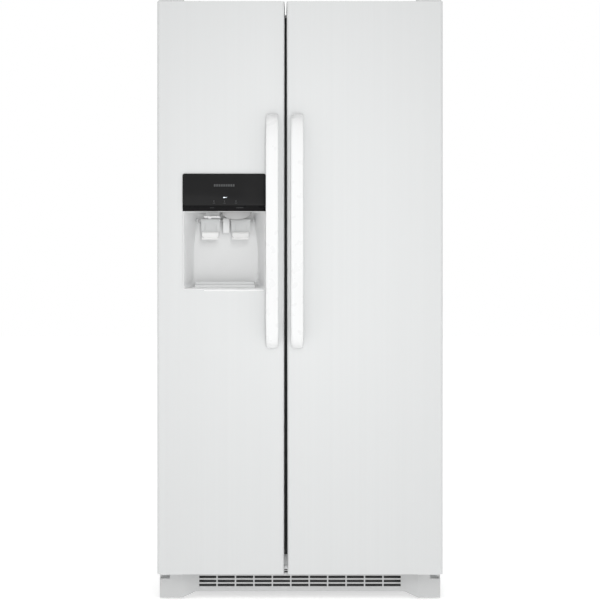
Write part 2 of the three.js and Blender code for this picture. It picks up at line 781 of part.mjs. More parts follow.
function controlHousing() {
  const { x, y, z } = CONTROL;
  const outline = polygon([
    [y[0], z[0] + 6],
    [y[0] + 10, z[0]],
    [y[1] - 14, z[0]],
    [y[1], z[0] + 30],
    [y[1], z[1]],
    [y[0], z[1]],
  ]);
  const slots = range(6).map((i) =>
    block([x[0] + 40, x[1] - 40], [-110 + i * 20, -104 + i * 20], [z[0] - 1, z[0] + 5]),
  );
  const sockets = KNOB.x.map((at) => cylinder("y", 4.6, 28, [at, y[0], KNOB.z], 12));
  return cut(extrude("x", outline, x), ...slots, ...sockets);
}

// A knob whose shaft turns in the housing. Its front is at negative y.
function knob() {
  const half = KNOB.length / 2;
  const body = cylinder("y", KNOB.radius - 2, KNOB.length, [0, 0, 0], 20, KNOB.radius);
  const grip = block([-3.5, 3.5], [-half - 6, 0], [-KNOB.radius + 2, KNOB.radius - 2]);
  const shaft = cylinder("y", 4, 12, [0, half + 5, 0], 12);
  return join(body, grip, shaft);
}

// ---------------------------------------------------------------- doors

const FREEZER_DOOR = { x: [-SIDE, GAP_CENTRE - GAP_WIDTH / 2], hinge: -HINGE_X };
const FRESH_DOOR = { x: [GAP_CENTRE + GAP_WIDTH / 2, SIDE], hinge: HINGE_X };
const SKIN_BACK = Y_DOOR_BACK - 14; // the steel pan stops short of the inner liner's edge

// The raised frame on the inside of each door, which stands in the cavity's mouth and holds the bins.
const FRAME_WALL = 16;
const FRAME_BACK = Y_DOOR_BACK + 42;
const FRAME_Z = [CAVITY_BOTTOM + 14, CAVITY_TOP - 16];
const FREEZER_FRAME = { x: [-HINGE_X + 38, FREEZER.right - 17], z: FRAME_Z };
const FRESH_FRAME = { x: [FRESH.left + 17, HINGE_X - 38], z: FRAME_Z };
const DISPENSER_BUMP = { x: FREEZER_FRAME.x, z: [885, 1290] };

const doorPlan = ([x0, x1], by, back) => {
  const radius = DOOR_EDGE_RADIUS - by;
  return rounded([x0 + by, x1 - by], [Y_DOOR + by, back], [radius, radius, 0, 0]);
};

const pinHoles = (hingeX) =>
  join(
    cylinder("z", PIN_HOLE_RADIUS, PIN_LENGTH * 2, [hingeX, HINGE_Y, DOOR_TOP - 0.5], 16),
    cylinder("z", PIN_HOLE_RADIUS, PIN_LENGTH * 2, [hingeX, HINGE_Y, DOOR_BOTTOM + 0.5], 16),
  );

// Outer door pan: folded steel, open at the back, its vertical front edges rounded.
function doorSkin({ x, hinge }) {
  const pan = extrude("z", doorPlan(x, 0, SKIN_BACK), [DOOR_BOTTOM, DOOR_TOP]);
  const z = [DOOR_BOTTOM + SKIN, DOOR_TOP - SKIN];
  const inside = extrude("z", doorPlan(x, SKIN, SKIN_BACK + 1), z);
  return cut(pan, inside, pinHoles(hinge));
}

// The foamed inner half of a door: insulation filling the pan, a lip that the gasket sits on, and
// the raised frame. The extra solids are added before the frame's inside is left open.
function doorLiner({ x, hinge }, frame, ...extra) {
  const gap = SKIN + FIT;
  const z = [DOOR_BOTTOM + gap, DOOR_TOP - gap];
  const core = extrude("z", doorPlan(x, gap, SKIN_BACK + 1), z);
  const lip = block(x, [SKIN_BACK + FIT, Y_DOOR_BACK], [DOOR_BOTTOM, DOOR_TOP]);
  const inside = ([low, high]) => [low + FRAME_WALL, high - FRAME_WALL];
  const raised = cut(
    block(frame.x, [Y_DOOR_BACK - 1, FRAME_BACK], frame.z),
    block(inside(frame.x), [Y_DOOR_BACK, FRAME_BACK + 1], inside(frame.z)),
  );
  return cut(join(core, lip, raised, ...extra), pinHoles(hinge));
}

// Magnetic gasket: a ring between the door and the cabinet's front. It stands in from the hinge edge
// so that it clears the cabinet as the door swings.
function gasket({ x, hinge }) {
  const width = 16;
  const hingeEdge = HINGE_INSET + 0.5;
  const freeEdge = 3;
  const [left, right] = hinge < 0 ? [hingeEdge, freeEdge] : [freeEdge, hingeEdge];
  const outerX = [x[0] + left, x[1] - right];
  const outerZ = [DOOR_BOTTOM + 60, CABINET_TOP - 40];
  const y = [Y_DOOR_BACK + FIT, Y_CABINET - FIT];
  const hole = block(
    [outerX[0] + width, outerX[1] - width],
    [y[0] - 1, y[1] + 1],
    [outerZ[0] + width, outerZ[1] - width],
  );
  return cut(block(outerX, y, outerZ), hole);
}

// Pull handle: a bar that curves in to the door at both ends. Each pair below is a distance from the
// handle's end and how far the outer or the inner face then stands off the door.
const HANDLE_OUTER = [[0, 0], [2, 14], [10, 29], [28, 42], [62, 52], [130, 57], [220, HANDLE_REACH]];
const HANDLE_INNER = [[34, 0], [40, 13], [56, 26], [90, 36], [150, 41], [230, 42]];

function handle(centre) {
  const down = (pairs) => pairs.map(([d, reach]) => [Y_DOOR - FIT - reach * (1 - FIT / HANDLE_REACH), d]);
  const outer = down(HANDLE_OUTER);
  const inner = down(HANDLE_INNER);
  const top = (list) => list.map(([y, d]) => [y, HANDLE_TOP - d]);
  const bottom = (list) => list.map(([y, d]) => [y, HANDLE_BOTTOM + d]);
  const outline = polygon([
    ...top(outer),
    ...bottom(outer).reverse(),
    ...bottom(inner),
    ...top(inner).reverse(),
  ]);
  const bevel = 4;
  return extrude("x", outline, [centre - HANDLE_WIDTH / 2 + bevel, centre + HANDLE_WIDTH / 2 - bevel], {
    bevelEnabled: true,
    bevelThickness: bevel,
    bevelSize: bevel,
    bevelOffset: -bevel,
    bevelSegments: 2,
  });
}

// A door bin: an open tub with rounded corners on the side away from the door.
function doorBin(frame, bottom, height) {
  const wall = 3;
  const x = [frame.x[0] + FRAME_WALL + FIT, frame.x[1] - FRAME_WALL - FIT];
  const y = [Y_DOOR_BACK + FIT, BIN_BACK];
  const tub = extrude("z", rounded(x, y, [0, 0, 18, 18]), [bottom, bottom + height]);
  const inside = extrude(
    "z",
    rounded([x[0] + wall, x[1] - wall], [y[0] + wall, y[1] - wall], [0, 0, 15, 15]),
    [bottom + wall, bottom + height + 1],
  );
  const rim = bottom + height;
  const dip = block([x[0] + 30, x[1] - 30], [y[1] - 6, y[1] + 1], [rim - 14, rim + 1]);
  return cut(tub, inside, dip);
}

// The clear lid of the dairy bin, hinged along its edge next to the door.
const DAIRY = { bottom: 1440, height: 92 };
const DAIRY_HINGE = { y: Y_DOOR_BACK + 8, z: DAIRY.bottom + DAIRY.height + 5.5 };

function dairyLid() {
  const x = [FRESH_FRAME.x[0] + FRAME_WALL + 2, FRESH_FRAME.x[1] - FRAME_WALL - 2];
  const { y, z } = DAIRY_HINGE;
  const rod = cylinder("x", 4, x[1] - x[0], [(x[0] + x[1]) / 2, y, z], 12);
  const plate = block(x, [y, BIN_BACK - 2], [z - 2, z + 1]);
  const lip = block([x[0] + 20, x[1] - 20], [BIN_BACK - 5, BIN_BACK - 2], [z - 2, z + 6]);
  return join(rod, plate, lip).translate([0, -y, -z]);
}

// ---------------------------------------------------------------- dispenser

// The recess leans in to its back wall: its sides more at the top than at the waist and below, its
// floor only a little.
const RECESS = {
  y: [Y_DOOR, Y_DOOR + RECESS_DEPTH],
  floor: [DISPENSER.bottom + 5, DISPENSER.bottom + 14],
  waist: 1045,
  lean: { top: 31, waist: 17 },
};

// The recess's outline at a depth, grown by a margin.
function recessRing(y, floor, lean, by) {
  const left = DISPENSER.left + 5 - by;
  const right = DISPENSER.right - 5 + by;
  const top = DISPENSER.sill + by;
  return [
    [left + lean.waist, y, floor - by],
    [right - lean.waist, y, floor - by],
    [right - lean.waist, y, RECESS.waist],
    [right - lean.top, y, top],
    [left + lean.top, y, top],
    [left + lean.waist, y, RECESS.waist],
  ];
}

// The recess grown on every side but the front, which is carried forward to a given y.
function recess(by, front = Y_DOOR - 6) {
  const body = loft([
    recessRing(RECESS.y[0], RECESS.floor[0], { top: 0, waist: 0 }, by),
    recessRing(RECESS.y[1] + by, RECESS.floor[1], RECESS.lean, by),
  ]);
  const mouth = block(
    [DISPENSER.left + 5 - by, DISPENSER.right - 5 + by],
    [front, RECESS.y[0] + 0.5],
    [RECESS.floor[0] - by, DISPENSER.sill + by],
  );
  return join(body, mouth);
}

// The chute's side outline, grown by a margin: high behind the door, low over the ice paddle.
const chuteOutline = (by) =>
  polygon([
    [-352 - by, 1150 - by],
    [-295 + by, 1150 - by],
    [-165 + by, 1291 - by],
    [-165 + by, 1306 + (by > 0 ? 20 : 0)],
    [-243 - by, 1306 + (by > 0 ? 20 : 0)],
  ]);
const SPOUT = { y: Y_DOOR + 46, radius: 45, squash: 0.48, drop: 24 };

function ellipseTube(radius, [z0, z1]) {
  const tube = cylinder("z", radius, z1 - z0, [0, 0, (z0 + z1) / 2], 28);
  return tube.scale([1, SPOUT.squash, 1]).translate([ICE_X, SPOUT.y, 0]);
}

// Ice chute: a sloping duct through the door, ending in an oval spout that hangs into the recess.
function iceChute() {
  const x = [ICE_X - SPOUT.radius, ICE_X + SPOUT.radius];
  const duct = extrude("x", chuteOutline(0), x);
  const z = [DISPENSER.sill - SPOUT.drop, 1152];
  const spout = ellipseTube(SPOUT.radius, z);
  const curve = new THREE.Shape();
  curve.absellipse(ICE_X, DISPENSER.sill, SPOUT.radius + 0.5, SPOUT.drop, Math.PI, 2 * Math.PI);
  curve.lineTo(ICE_X + SPOUT.radius + 0.5, 1160);
  curve.lineTo(ICE_X - SPOUT.radius - 0.5, 1160);
  const bowl = extrude("y", curve, [-400, -250], { curveSegments: 10 });
  const bore = ellipseTube(SPOUT.radius - 2.5, [z[0] - 1, 1156]);
  const inside = extrude("x", chuteOutline(-2.5), [x[0] + 2.5, x[1] - 2.5]);
  const mouth = block([x[0] + 2.5, x[1] - 2.5], [-240, -168], [1300, 1310]);
  return cut(join(duct, spout.intersect(bowl)), inside, bore, mouth);
}

// Drip tray: a shallow dish under a slotted grille that pulls forward off its ledge in the recess.
const TRAY = { x: [-310, -134], y: [Y_DOOR + 28, Y_DOOR + 84], z: [931.8, 941.4] };

// The moulded recess: a tapered tub with a narrow front flange, brackets for the two paddles, a
// ledge for the drip tray and a water nozzle.
function dispenserHousing() {
  const flange = block(
    [DISPENSER.left, DISPENSER.right],
    [Y_DOOR - 2.5, Y_DOOR - FIT],
    [DISPENSER.bottom, DISPENSER.sill + RECESS_WALL],
  );
  const wallBack = RECESS.y[1];
  const bracket = (x) => block(x, [PADDLE_PIVOT.y - 6.5, wallBack + 1], [1086, 1132]);
  const middle = bracket([-231, -208]);
  const outer = [bracket([-306, -297]), bracket([-142, -136])];
  const axle = cylinder("x", 3.4, 300, [-220, PADDLE_PIVOT.y, PADDLE_PIVOT.z], 14);
  const nozzleShelf = block([-283, -236], [Y_DOOR + 8, wallBack + 1], [1133.5, 1137]);
  const nozzle = cylinder("z", 5, 12, [WATER_PADDLE_X, Y_DOOR + 26, 1132], 12);
  const nozzleBore = cylinder("z", 3, 30, [WATER_PADDLE_X, Y_DOOR + 26, 1128], 10);
  const fittings = cut(join(middle, ...outer), axle);
  const hole = ellipseTube(SPOUT.radius + FIT, [1140, 1155]);
  const tub = cut(join(recess(RECESS_WALL, Y_DOOR - 1), flange), recess(0), hole);
  const brace = block([-283, -236], [Y_DOOR + 40, wallBack + 1], [1136, DISPENSER.sill + 1]);
  const ledgeSpace = [
    [TRAY.x[0] - 1, TRAY.x[1] + 1],
    [TRAY.y[0] - 1, wallBack + 1],
    [DISPENSER.bottom, TRAY.z[0] - FIT],
  ];
  const ledge = block(...ledgeSpace).intersect(recess(RECESS_WALL));
  return join(tub, ledge, fittings, cut(join(nozzleShelf, brace, nozzle), nozzleBore));
}

// Push paddle: a curved plate under a pivot rod, with a lip at its lower edge.
function paddle() {
  const rod = cylinder("x", 3, PADDLE_WIDTH + 22, [0, 0, 0], 12);
  const outline = polygon([
    [-3, 2],
    [-3, -35],
    [-11, -45],
    [-20, -53],
    [-20, -56.5],
    [-16, -57],
    [-6, -50],
    [2.5, -37],
    [2.5, 2],
  ]);
  return join(rod, extrude("x", outline, [-PADDLE_WIDTH / 2, PADDLE_WIDTH / 2]));
}

function dripTray() {
  const plate = extrude("z", rounded(TRAY.x, TRAY.y, [3, 3, 8, 8]), TRAY.z);
  const middle = (TRAY.x[0] + TRAY.x[1]) / 2;
  const slots = range(13).map((i) => {
    const x = middle + (i - 6) * 13;
    return block([x - 3.5, x + 3.5], [TRAY.y[0] + 8, TRAY.y[1] - 8], [TRAY.z[0] + 3, TRAY.z[1] + 1]);
  });
  return cut(plate, ...slots);
}

// Control panel: a glossy plate over the recess, its upper corners rounded.
function dispenserPanel() {
  const z = [DISPENSER.sill + RECESS_WALL + FIT, DISPENSER.top];
  const plate = extrude(
    "y",
    rounded([DISPENSER.left, DISPENSER.right], z, [0, 0, 7, 7]),
    [Y_DOOR - 4, Y_DOOR - FIT],
  );
  const body = block(
    [DISPENSER.left + 5, DISPENSER.right - 5],
    [Y_DOOR - 1, Y_DOOR + 14],
    [z[0] + 2, z[1] - 5],
  );
  return join(plate, body);
}

// The opening in the freezer door's skin that takes the recess and the panel.
const skinOpening = () =>
  block(
    [DISPENSER.left + 2, DISPENSER.right - 2],
    [Y_DOOR - 1, Y_DOOR + DOOR_EDGE_RADIUS],
    [DISPENSER.bottom + 2, DISPENSER.top - 3],
  );

function freezerDoorLiner() {
  const bump = block(DISPENSER_BUMP.x, [Y_DOOR_BACK - 1, FRAME_BACK], DISPENSER_BUMP.z);
  const panelSpace = block(
    [DISPENSER.left + 4, DISPENSER.right - 4],
    [Y_DOOR - 1, Y_DOOR + 15],
    [DISPENSER.sill, DISPENSER.top - 4],
  );
  const ductSpace = extrude("x", chuteOutline(FIT), [
    ICE_X - SPOUT.radius - FIT,
    ICE_X + SPOUT.radius + FIT,
  ]);
  const spoutSpace = ellipseTube(SPOUT.radius + FIT, [1140, 1156]);
  const liner = doorLiner(FREEZER_DOOR, FREEZER_FRAME, bump);
  return cut(liner, recess(RECESS_WALL + FIT), panelSpace, ductSpace, spoutSpace);
}

// ---------------------------------------------------------------- assembly

const product = new THREE.Group();
product.name = "side_by_side_refrigerator";

const cabinet = new THREE.Group();
cabinet.name = "cabinet";
product.add(cabinet);

const basketReach = [364.5 - 345 + 12, 30];
const deliReach = [26, FRESH.right - LINER - DRAWER_SIDE_X + 12];

add(cabinet, "cabinet_shell", cabinetShell(), WHITE_STEEL);
add(cabinet, "cabinet_foam", insulation(), FOAM);
add(
  cabinet,
  "freezer_liner",
  liner(FREEZER, [-SIDE + SHELL_FLANGE + FIT, GAP_CENTRE - FIT], [
    { z: FREEZER_SHELF_HEIGHTS.upper - FIT, back: FREEZER_BACK },
    { z: FREEZER_SHELF_HEIGHTS.lower - FIT, back: FREEZER_BACK },
    { z: ICE_BIN.z[0] - FIT, back: ICE_BIN.y[1], reach: [20, 20] },
    { z: BASKET.bottom - 3 - FIT, back: FREEZER_BACK, reach: basketReach },
  ]),
  LINER_PLASTIC,
);
add(
  cabinet,
  "fresh_food_liner",
  liner(FRESH, [GAP_CENTRE + FIT, SIDE - SHELL_FLANGE - FIT], [
    { z: FRESH_SHELF_HEIGHTS.upper - FIT, back: FRESH_BACK },
    { z: FRESH_SHELF_HEIGHTS.lower - FIT, back: FRESH_BACK },
    { z: DELI.bottom - FIT, back: FRESH_BACK, reach: deliReach },
  ]),
  LINER_PLASTIC,
);
add(cabinet, "rear_panel", rearPanel(), GALVANISED);
add(cabinet, "base_pan", basePan(), GALVANISED);
add(cabinet, "machine_cover", machineCover(), GALVANISED);
add(cabinet, "compressor", compressor(), BLACK_STEEL, [COMPRESSOR.x, COMPRESSOR.y, 0]);
add(cabinet, "condenser_unit", condenserUnit(), BLACK_STEEL);
add(cabinet, "toe_grille", toeGrille(), HOUSING_PLASTIC);
add(cabinet, "evaporator_cover", evaporatorCover(), LINER_PLASTIC);
add(cabinet, "evaporator_coil", evaporator(), ALUMINIUM);
add(cabinet, "ice_maker", iceMaker(), GREY_PLASTIC);
add(cabinet, "ice_bin", iceBin(), CLEAR_PLASTIC);
add(cabinet, "freezer_shelf_upper", wireShelf(), WIRE, [0, 0, FREEZER_SHELF_HEIGHTS.upper]);
add(cabinet, "freezer_shelf_lower", wireShelf(), WIRE, [0, 0, FREEZER_SHELF_HEIGHTS.lower]);
add(cabinet, "control_housing", controlHousing(), WHITE_PLASTIC);
add(cabinet, "shelf_upper", glassShelf(), SHELF_GLASS, [0, 0, FRESH_SHELF_HEIGHTS.upper]);
add(cabinet, "shelf_middle", glassShelf(), SHELF_GLASS, [0, 0, FRESH_SHELF_HEIGHTS.lower]);
add(cabinet, "crisper_cover", crisperCover(), SHELF_GLASS);

for (const [side, sign] of [["left", -1], ["right", 1]]) {
  add(cabinet, `top_hinge_${side}`, topHinge(sign), GALVANISED);
  add(cabinet, `hinge_cover_${side}`, hingeCover(sign), WHITE_PLASTIC);
  add(cabinet, `bottom_hinge_${side}`, bottomHinge(sign), GALVANISED);
  add(cabinet, `levelling_leg_${side}`, levellingLeg(), GREY_PLASTIC, [sign * LEG.x, LEG.y, 0]);
  const at = [sign * REAR_ROLLER.x, REAR_ROLLER.y, REAR_ROLLER.radius];
  add(cabinet, `rear_roller_${side}`, roller(), GREY_PLASTIC, at);
}

add(cabinet, "condenser_fan", fan(70, 18, 5, 2.5), GREY_PLASTIC, [FAN_SHROUD_X + 14, FAN_Y, FAN_Z]);
const coldFan = fan(56, 18, 5, 2.5).rotate([0, 0, 90]);
add(cabinet, "evaporator_fan", coldFan, GREY_PLASTIC, Object.values(EVAPORATOR_FAN));
add(cabinet, "ice_auger", auger(), ALUMINIUM, [AUGER.x, AUGER.y, AUGER.z]);
KNOB.x.forEach((x, i) => {
  const name = ["freezer_control_knob", "fresh_food_control_knob"][i];
  const y = CONTROL.y[0] - FIT - KNOB.length / 2;
  add(cabinet, name, knob(), WHITE_PLASTIC, [x, y, KNOB.z]);
});

add(cabinet, "freezer_basket", wireBasket(BASKET_X, BASKET), WIRE);
add(cabinet, "deli_drawer", drawer(CRISPER_X, DELI, FRESH_BACK - 6), CLEAR_PLASTIC);
add(cabinet, "crisper_upper", drawer(CRISPER_X, UPPER_CRISPER, FRESH_BACK - 12), CLEAR_PLASTIC);
add(cabinet, "crisper_lower", drawer(CRISPER_X, LOWER_CRISPER, HUMP_FRONT - 22), CLEAR_PLASTIC);

const freezerDoor = new THREE.Group();
freezerDoor.name = "freezer_door";
product.add(freezerDoor);
const freezerHandleX = FREEZER_DOOR.x[1] - HANDLE_FROM_EDGE - 3;
add(freezerDoor, "freezer_door_skin", cut(doorSkin(FREEZER_DOOR), skinOpening()), WHITE_STEEL);
add(freezerDoor, "freezer_door_liner", freezerDoorLiner(), LINER_PLASTIC);
add(freezerDoor, "freezer_door_gasket", gasket(FREEZER_DOOR), GASKET_RUBBER);
add(freezerDoor, "freezer_door_handle", handle(freezerHandleX), WHITE_PLASTIC);
add(freezerDoor, "dispenser_panel", dispenserPanel(), BLACK_GLOSS);
add(freezerDoor, "dispenser_housing", dispenserHousing(), HOUSING_PLASTIC);
add(freezerDoor, "drip_tray", dripTray(), GREY_PLASTIC);
const pivot = [PADDLE_PIVOT.y, PADDLE_PIVOT.z];
add(freezerDoor, "ice_paddle", paddle(), GREY_PLASTIC, [ICE_PADDLE_X, ...pivot]);
add(freezerDoor, "water_paddle", paddle(), GREY_PLASTIC, [WATER_PADDLE_X, ...pivot]);
add(freezerDoor, "ice_chute", iceChute(), GREY_PLASTIC);
add(freezerDoor, "freezer_bin_upper", doorBin(FREEZER_FRAME, 1560, 96), CLEAR_PLASTIC);
add(freezerDoor, "freezer_bin_middle", doorBin(FREEZER_FRAME, 650, 96), CLEAR_PLASTIC);
add(freezerDoor, "freezer_bin_lower", doorBin(FREEZER_FRAME, 250, 110), CLEAR_PLASTIC);

const freshDoor = new THREE.Group();
freshDoor.name = "fresh_food_door";
product.add(freshDoor);
const freshHandleX = FRESH_DOOR.x[0] + HANDLE_FROM_EDGE - 2;
add(freshDoor, "fresh_door_skin", doorSkin(FRESH_DOOR), WHITE_STEEL);
add(freshDoor, "fresh_door_liner", doorLiner(FRESH_DOOR, FRESH_FRAME), LINER_PLASTIC);
add(freshDoor, "fresh_door_gasket", gasket(FRESH_DOOR), GASKET_RUBBER);
add(freshDoor, "fresh_door_handle", handle(freshHandleX), WHITE_PLASTIC);
add(freshDoor, "dairy_bin", doorBin(FRESH_FRAME, DAIRY.bottom, DAIRY.height), CLEAR_PLASTIC);
add(freshDoor, "fresh_bin_middle", doorBin(FRESH_FRAME, 1060, 110), CLEAR_PLASTIC);
add(freshDoor, "fresh_bin_lower", doorBin(FRESH_FRAME, 560, 130), CLEAR_PLASTIC);
add(freshDoor, "dairy_lid", dairyLid(), CLEAR_PLASTIC, [0, DAIRY_HINGE.y, DAIRY_HINGE.z]);

export default product;
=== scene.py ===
import math

import bmesh
import bpy
from mathutils import Matrix, Vector


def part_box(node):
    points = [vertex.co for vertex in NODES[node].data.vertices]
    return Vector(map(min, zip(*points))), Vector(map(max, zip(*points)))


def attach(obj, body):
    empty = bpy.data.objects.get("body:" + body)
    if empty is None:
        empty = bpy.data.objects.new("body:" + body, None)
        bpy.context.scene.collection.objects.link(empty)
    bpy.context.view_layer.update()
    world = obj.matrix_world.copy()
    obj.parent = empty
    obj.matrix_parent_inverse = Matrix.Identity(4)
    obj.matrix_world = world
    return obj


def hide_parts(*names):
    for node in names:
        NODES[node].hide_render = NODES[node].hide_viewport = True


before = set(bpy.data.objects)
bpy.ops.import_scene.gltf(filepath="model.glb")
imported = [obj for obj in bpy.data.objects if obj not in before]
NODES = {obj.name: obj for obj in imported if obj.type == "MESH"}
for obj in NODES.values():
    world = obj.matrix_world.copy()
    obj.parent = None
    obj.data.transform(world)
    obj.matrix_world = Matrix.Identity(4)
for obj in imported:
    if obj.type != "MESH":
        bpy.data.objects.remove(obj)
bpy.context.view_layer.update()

# Shapes are worked out in millimetres. piece() brings them to metres, the unit of the frame.
MM = 0.001

# ---------------------------------------------------------------- materials


class Shader:
    """Builds one procedural material on a Principled BSDF."""

    def __init__(self, name, color, roughness, glow=None, **sockets):
        self.material = bpy.data.materials.new(name)
        self.material.use_nodes = True
        self.tree = self.material.node_tree
        self.tree.nodes.clear()
        out = self.node("ShaderNodeOutputMaterial")
        self.bsdf = self.node("ShaderNodeBsdfPrincipled")
        self.link(self.bsdf, "BSDF", out, "Surface")
        self.color = (*color, 1.0)
        self.roughness = roughness
        self.bsdf.inputs["Base Color"].default_value = self.color
        self.bsdf.inputs["Roughness"].default_value = roughness
        if glow:
            self.bsdf.inputs["Emission Color"].default_value = (*glow, 1.0)
        for key, value in sockets.items():
            self.bsdf.inputs[key.replace("_", " ")].default_value = value
        self.coords = self.node("ShaderNodeTexCoord")

    def node(self, kind, **inputs):
        made = self.tree.nodes.new(kind)
        for key, value in inputs.items():
            made.inputs[key.replace("_", " ")].default_value = value
        return made

    def link(self, a, out, b, into):
        self.tree.links.new(a.outputs[out], b.inputs[into])

    def texture(self, kind, stretch, **inputs):
        mapping = self.node("ShaderNodeMapping", Scale=stretch)
        self.link(self.coords, "Object", mapping, "Vector")
        made = self.node(kind, **inputs)
        self.link(mapping, "Vector", made, "Vector")
        return made

    def noise(self, scale, detail=3.0, stretch=(1, 1, 1), rough=0.5):
        return self.texture("ShaderNodeTexNoise", stretch, Scale=scale, Detail=detail, Roughness=rough)

    def cells(self, scale):
        return self.texture("ShaderNodeTexVoronoi", (1, 1, 1), Scale=scale)

    def spread(self, source, low, high, out="Fac"):
        """Stretches the middle of the source's range over low to high."""
        made = self.node("ShaderNodeMapRange", From_Min=0.3, From_Max=0.7, To_Min=low, To_Max=high)
        self.link(source, out, made, "Value")
        return made

    def vary_color(self, source, amount, tint=None, out="Fac"):
        """Mixes the colour with a darker or tinted one where the source is high."""
        mix = self.node("ShaderNodeMix")
        mix.data_type = "RGBA"
        mix.inputs["A"].default_value = self.color
        dark = tint or tuple(c * (1 - amount) for c in self.color[:3])
        mix.inputs["B"].default_value = (*dark, 1.0)
        self.link(self.spread(source, 0.0, 1.0, out), "Result", mix, "Factor")
        self.link(mix, "Result", self.bsdf, "Base Color")

    def vary_roughness(self, source, amount):
        ramp = self.spread(source, max(0.02, self.roughness - amount), min(1.0, self.roughness + amount))
        self.link(ramp, "Result", self.bsdf, "Roughness")

    def bump(self, source, strength, distance, out="Fac"):
        made = self.node("ShaderNodeBump", Strength=strength, Distance=distance)
        self.link(source, out, made, "Height")
        self.link(made, "Normal", self.bsdf, "Normal")


def layered(name, color, roughness, tone, gloss=None, relief=None, tint=None, **sockets):
    """Tone, gloss and relief each follow a noise: its arguments, and then how strongly they vary."""
    s = Shader(name, color, roughness, **sockets)
    s.vary_color(s.noise(*tone[0]), tone[1], tint)
    if gloss:
        s.vary_roughness(s.noise(*gloss[0]), gloss[1])
    if relief:
        s.bump(s.noise(*relief[0]), *relief[1:])
    return s.material


def plastic(name, color, roughness, grain=900.0, depth=0.08, shade=0.03, **sockets):
    relief = ((grain, 2), depth, 0.0003)
    return layered(name, color, roughness, ((9, 4), shade), ((30, 3), 0.05), relief, **sockets)


def clear(name, color, roughness, **sockets):
    relief = ((260, 2), 0.012, 0.0004)
    return layered(name, color, roughness, ((12, 2), 0.02), ((40, 3), 0.03), relief, IOR=1.46, **sockets)


def galvanised():
    s = Shader("galvanised_sheet", (0.6, 0.615, 0.62), 0.42, Metallic=0.8)
    s.vary_color(s.cells(210.0), 0.09, out="Distance")
    s.vary_roughness(s.noise(60.0, 4.0), 0.1)
    s.bump(s.noise(300.0), 0.06, 0.0004)
    return s.material


def brushed(name, color, roughness=0.32, along=(1, 60, 60)):
    s = Shader(name, color, roughness, Metallic=1.0)
    grain = s.noise(40.0, 4.0, along)
    s.vary_color(grain, 0.14)
    s.vary_roughness(grain, 0.08)
    s.bump(grain, 0.08, 0.0003)
    return s.material


def foam():
    s = Shader("rigid_foam", (0.8, 0.7, 0.45), 0.9)
    cells = s.cells(420.0)
    s.vary_color(cells, 0.18, out="Distance")
    s.bump(cells, 0.5, 0.001, "Distance")
    return s.material


MAT = {
    "enamel": layered(
        "white_enamel", (0.705, 0.715, 0.715), 0.34, ((1, 5, (95, 95, 0.35), 0.7), 0.02), ((60, 4), 0.03),
        ((420, 2), 0.06, 0.0004), Coat_Weight=0.2, Coat_Roughness=0.15,
    ),
    "white_gloss": plastic("white_gloss_plastic", (0.9, 0.9, 0.895), 0.22, 700, 0.03, 0.015, Coat_Weight=0.2),
    # pad plastic glows faintly though it is no lamp: a painted glow that brightens the paddle feet, the bead
    # under the recess and the filler between the door tops
    "pad": plastic("pad_plastic_painted_glow", (0.92, 0.92, 0.915), 0.3, 300, 0.02, 0.01, Emission_Strength=0.03),
    "handle": plastic("handle_plastic", (0.8, 0.805, 0.805), 0.3, 240, 0.012, 0.01, Coat_Weight=0.2),
    "white_trim": plastic("white_trim_plastic", (0.83, 0.835, 0.83), 0.4),
    "liner": plastic("liner_plastic", (0.86, 0.87, 0.87), 0.34, 600, 0.06, 0.02, Coat_Weight=0.1),
    "grille": plastic("grille_plastic", (0.6, 0.605, 0.605), 0.46, 900, 0.1),
    "housing": plastic("dispenser_plastic", (0.76, 0.765, 0.765), 0.36, 900, 0.07, 0.02),
    "paddle": plastic("paddle_plastic", (0.62, 0.63, 0.63), 0.4),
    "grey": plastic("grey_plastic", (0.3, 0.31, 0.32), 0.5),
    "spout": plastic("spout_plastic", (0.43, 0.43, 0.43), 0.45),
    "panel": plastic("panel_gloss", (0.0135, 0.0135, 0.014), 0.14, 500, 0.01, 0.2, Specular_IOR_Level=0.2),
    "panel_band": plastic("panel_band", (0.006, 0.006, 0.0065), 0.3, 700, 0.05, 0.1, Specular_IOR_Level=0.1),
    "wire": plastic("vinyl_wire", (0.84, 0.85, 0.845), 0.3, 500, 0.05, 0.02),
    "clear": clear("clear_plastic", (0.985, 0.992, 0.995), 0.06, Transmission_Weight=0.88),
    "frost": clear("frosted_plastic", (0.93, 0.955, 0.965), 0.32, Transmission_Weight=0.22),
    "glass": clear("shelf_glass", (0.7, 0.8, 0.78), 0.05, Alpha=0.28),
    "galvanised": galvanised(),
    "steel": brushed("hinge_steel", (0.62, 0.63, 0.64)),
    "aluminium": brushed("coil_aluminium", (0.75, 0.76, 0.77), 0.3, (60, 60, 1)),
    "foam": foam(),
    "rubber": layered(
        "gasket_rubber", (0.062, 0.063, 0.064), 0.62, ((70, 3), 0.25), ((200, 2), 0.08),
        ((700, 2), 0.12, 0.0003), Sheen_Weight=0.15,
    ),
    "black": layered(
        "black_paint", (0.018, 0.018, 0.02), 0.38, ((40, 4), 0.3), ((90, 3), 0.08),
        ((420, 3), 0.12, 0.0005), (0.035, 0.034, 0.033), Coat_Weight=0.3,
    ),
    "diffuser": layered(
        "lamp_diffuser", (0.92, 0.92, 0.88), 0.35, ((60,), 0.03), None, ((300,), 0.05, 0.0003),
        glow=(1.0, 0.97, 0.92), Emission_Strength=5.0,
    ),
    "mark": layered("panel_mark", (0.066, 0.068, 0.07), 0.4, ((300,), 0.1)),
    "lamp": layered(
        "panel_lamp", (0.9, 0.95, 1.0), 0.3, ((400,), 0.05), glow=(0.75, 0.88, 1.0), Emission_Strength=0.9,
    ),
}

# ---------------------------------------------------------------- ranges and outlines


def span(node):
    """(x range, y range, z range) of a CAD node at rest."""
    low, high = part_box(node)
    return tuple((low[i] / MM, high[i] / MM) for i in range(3))


def middle(ends):
    return (ends[0] + ends[1]) / 2


def inset(ends, by):
    """A range cut short by the same length at both ends."""
    return ends[0] + by, ends[1] - by


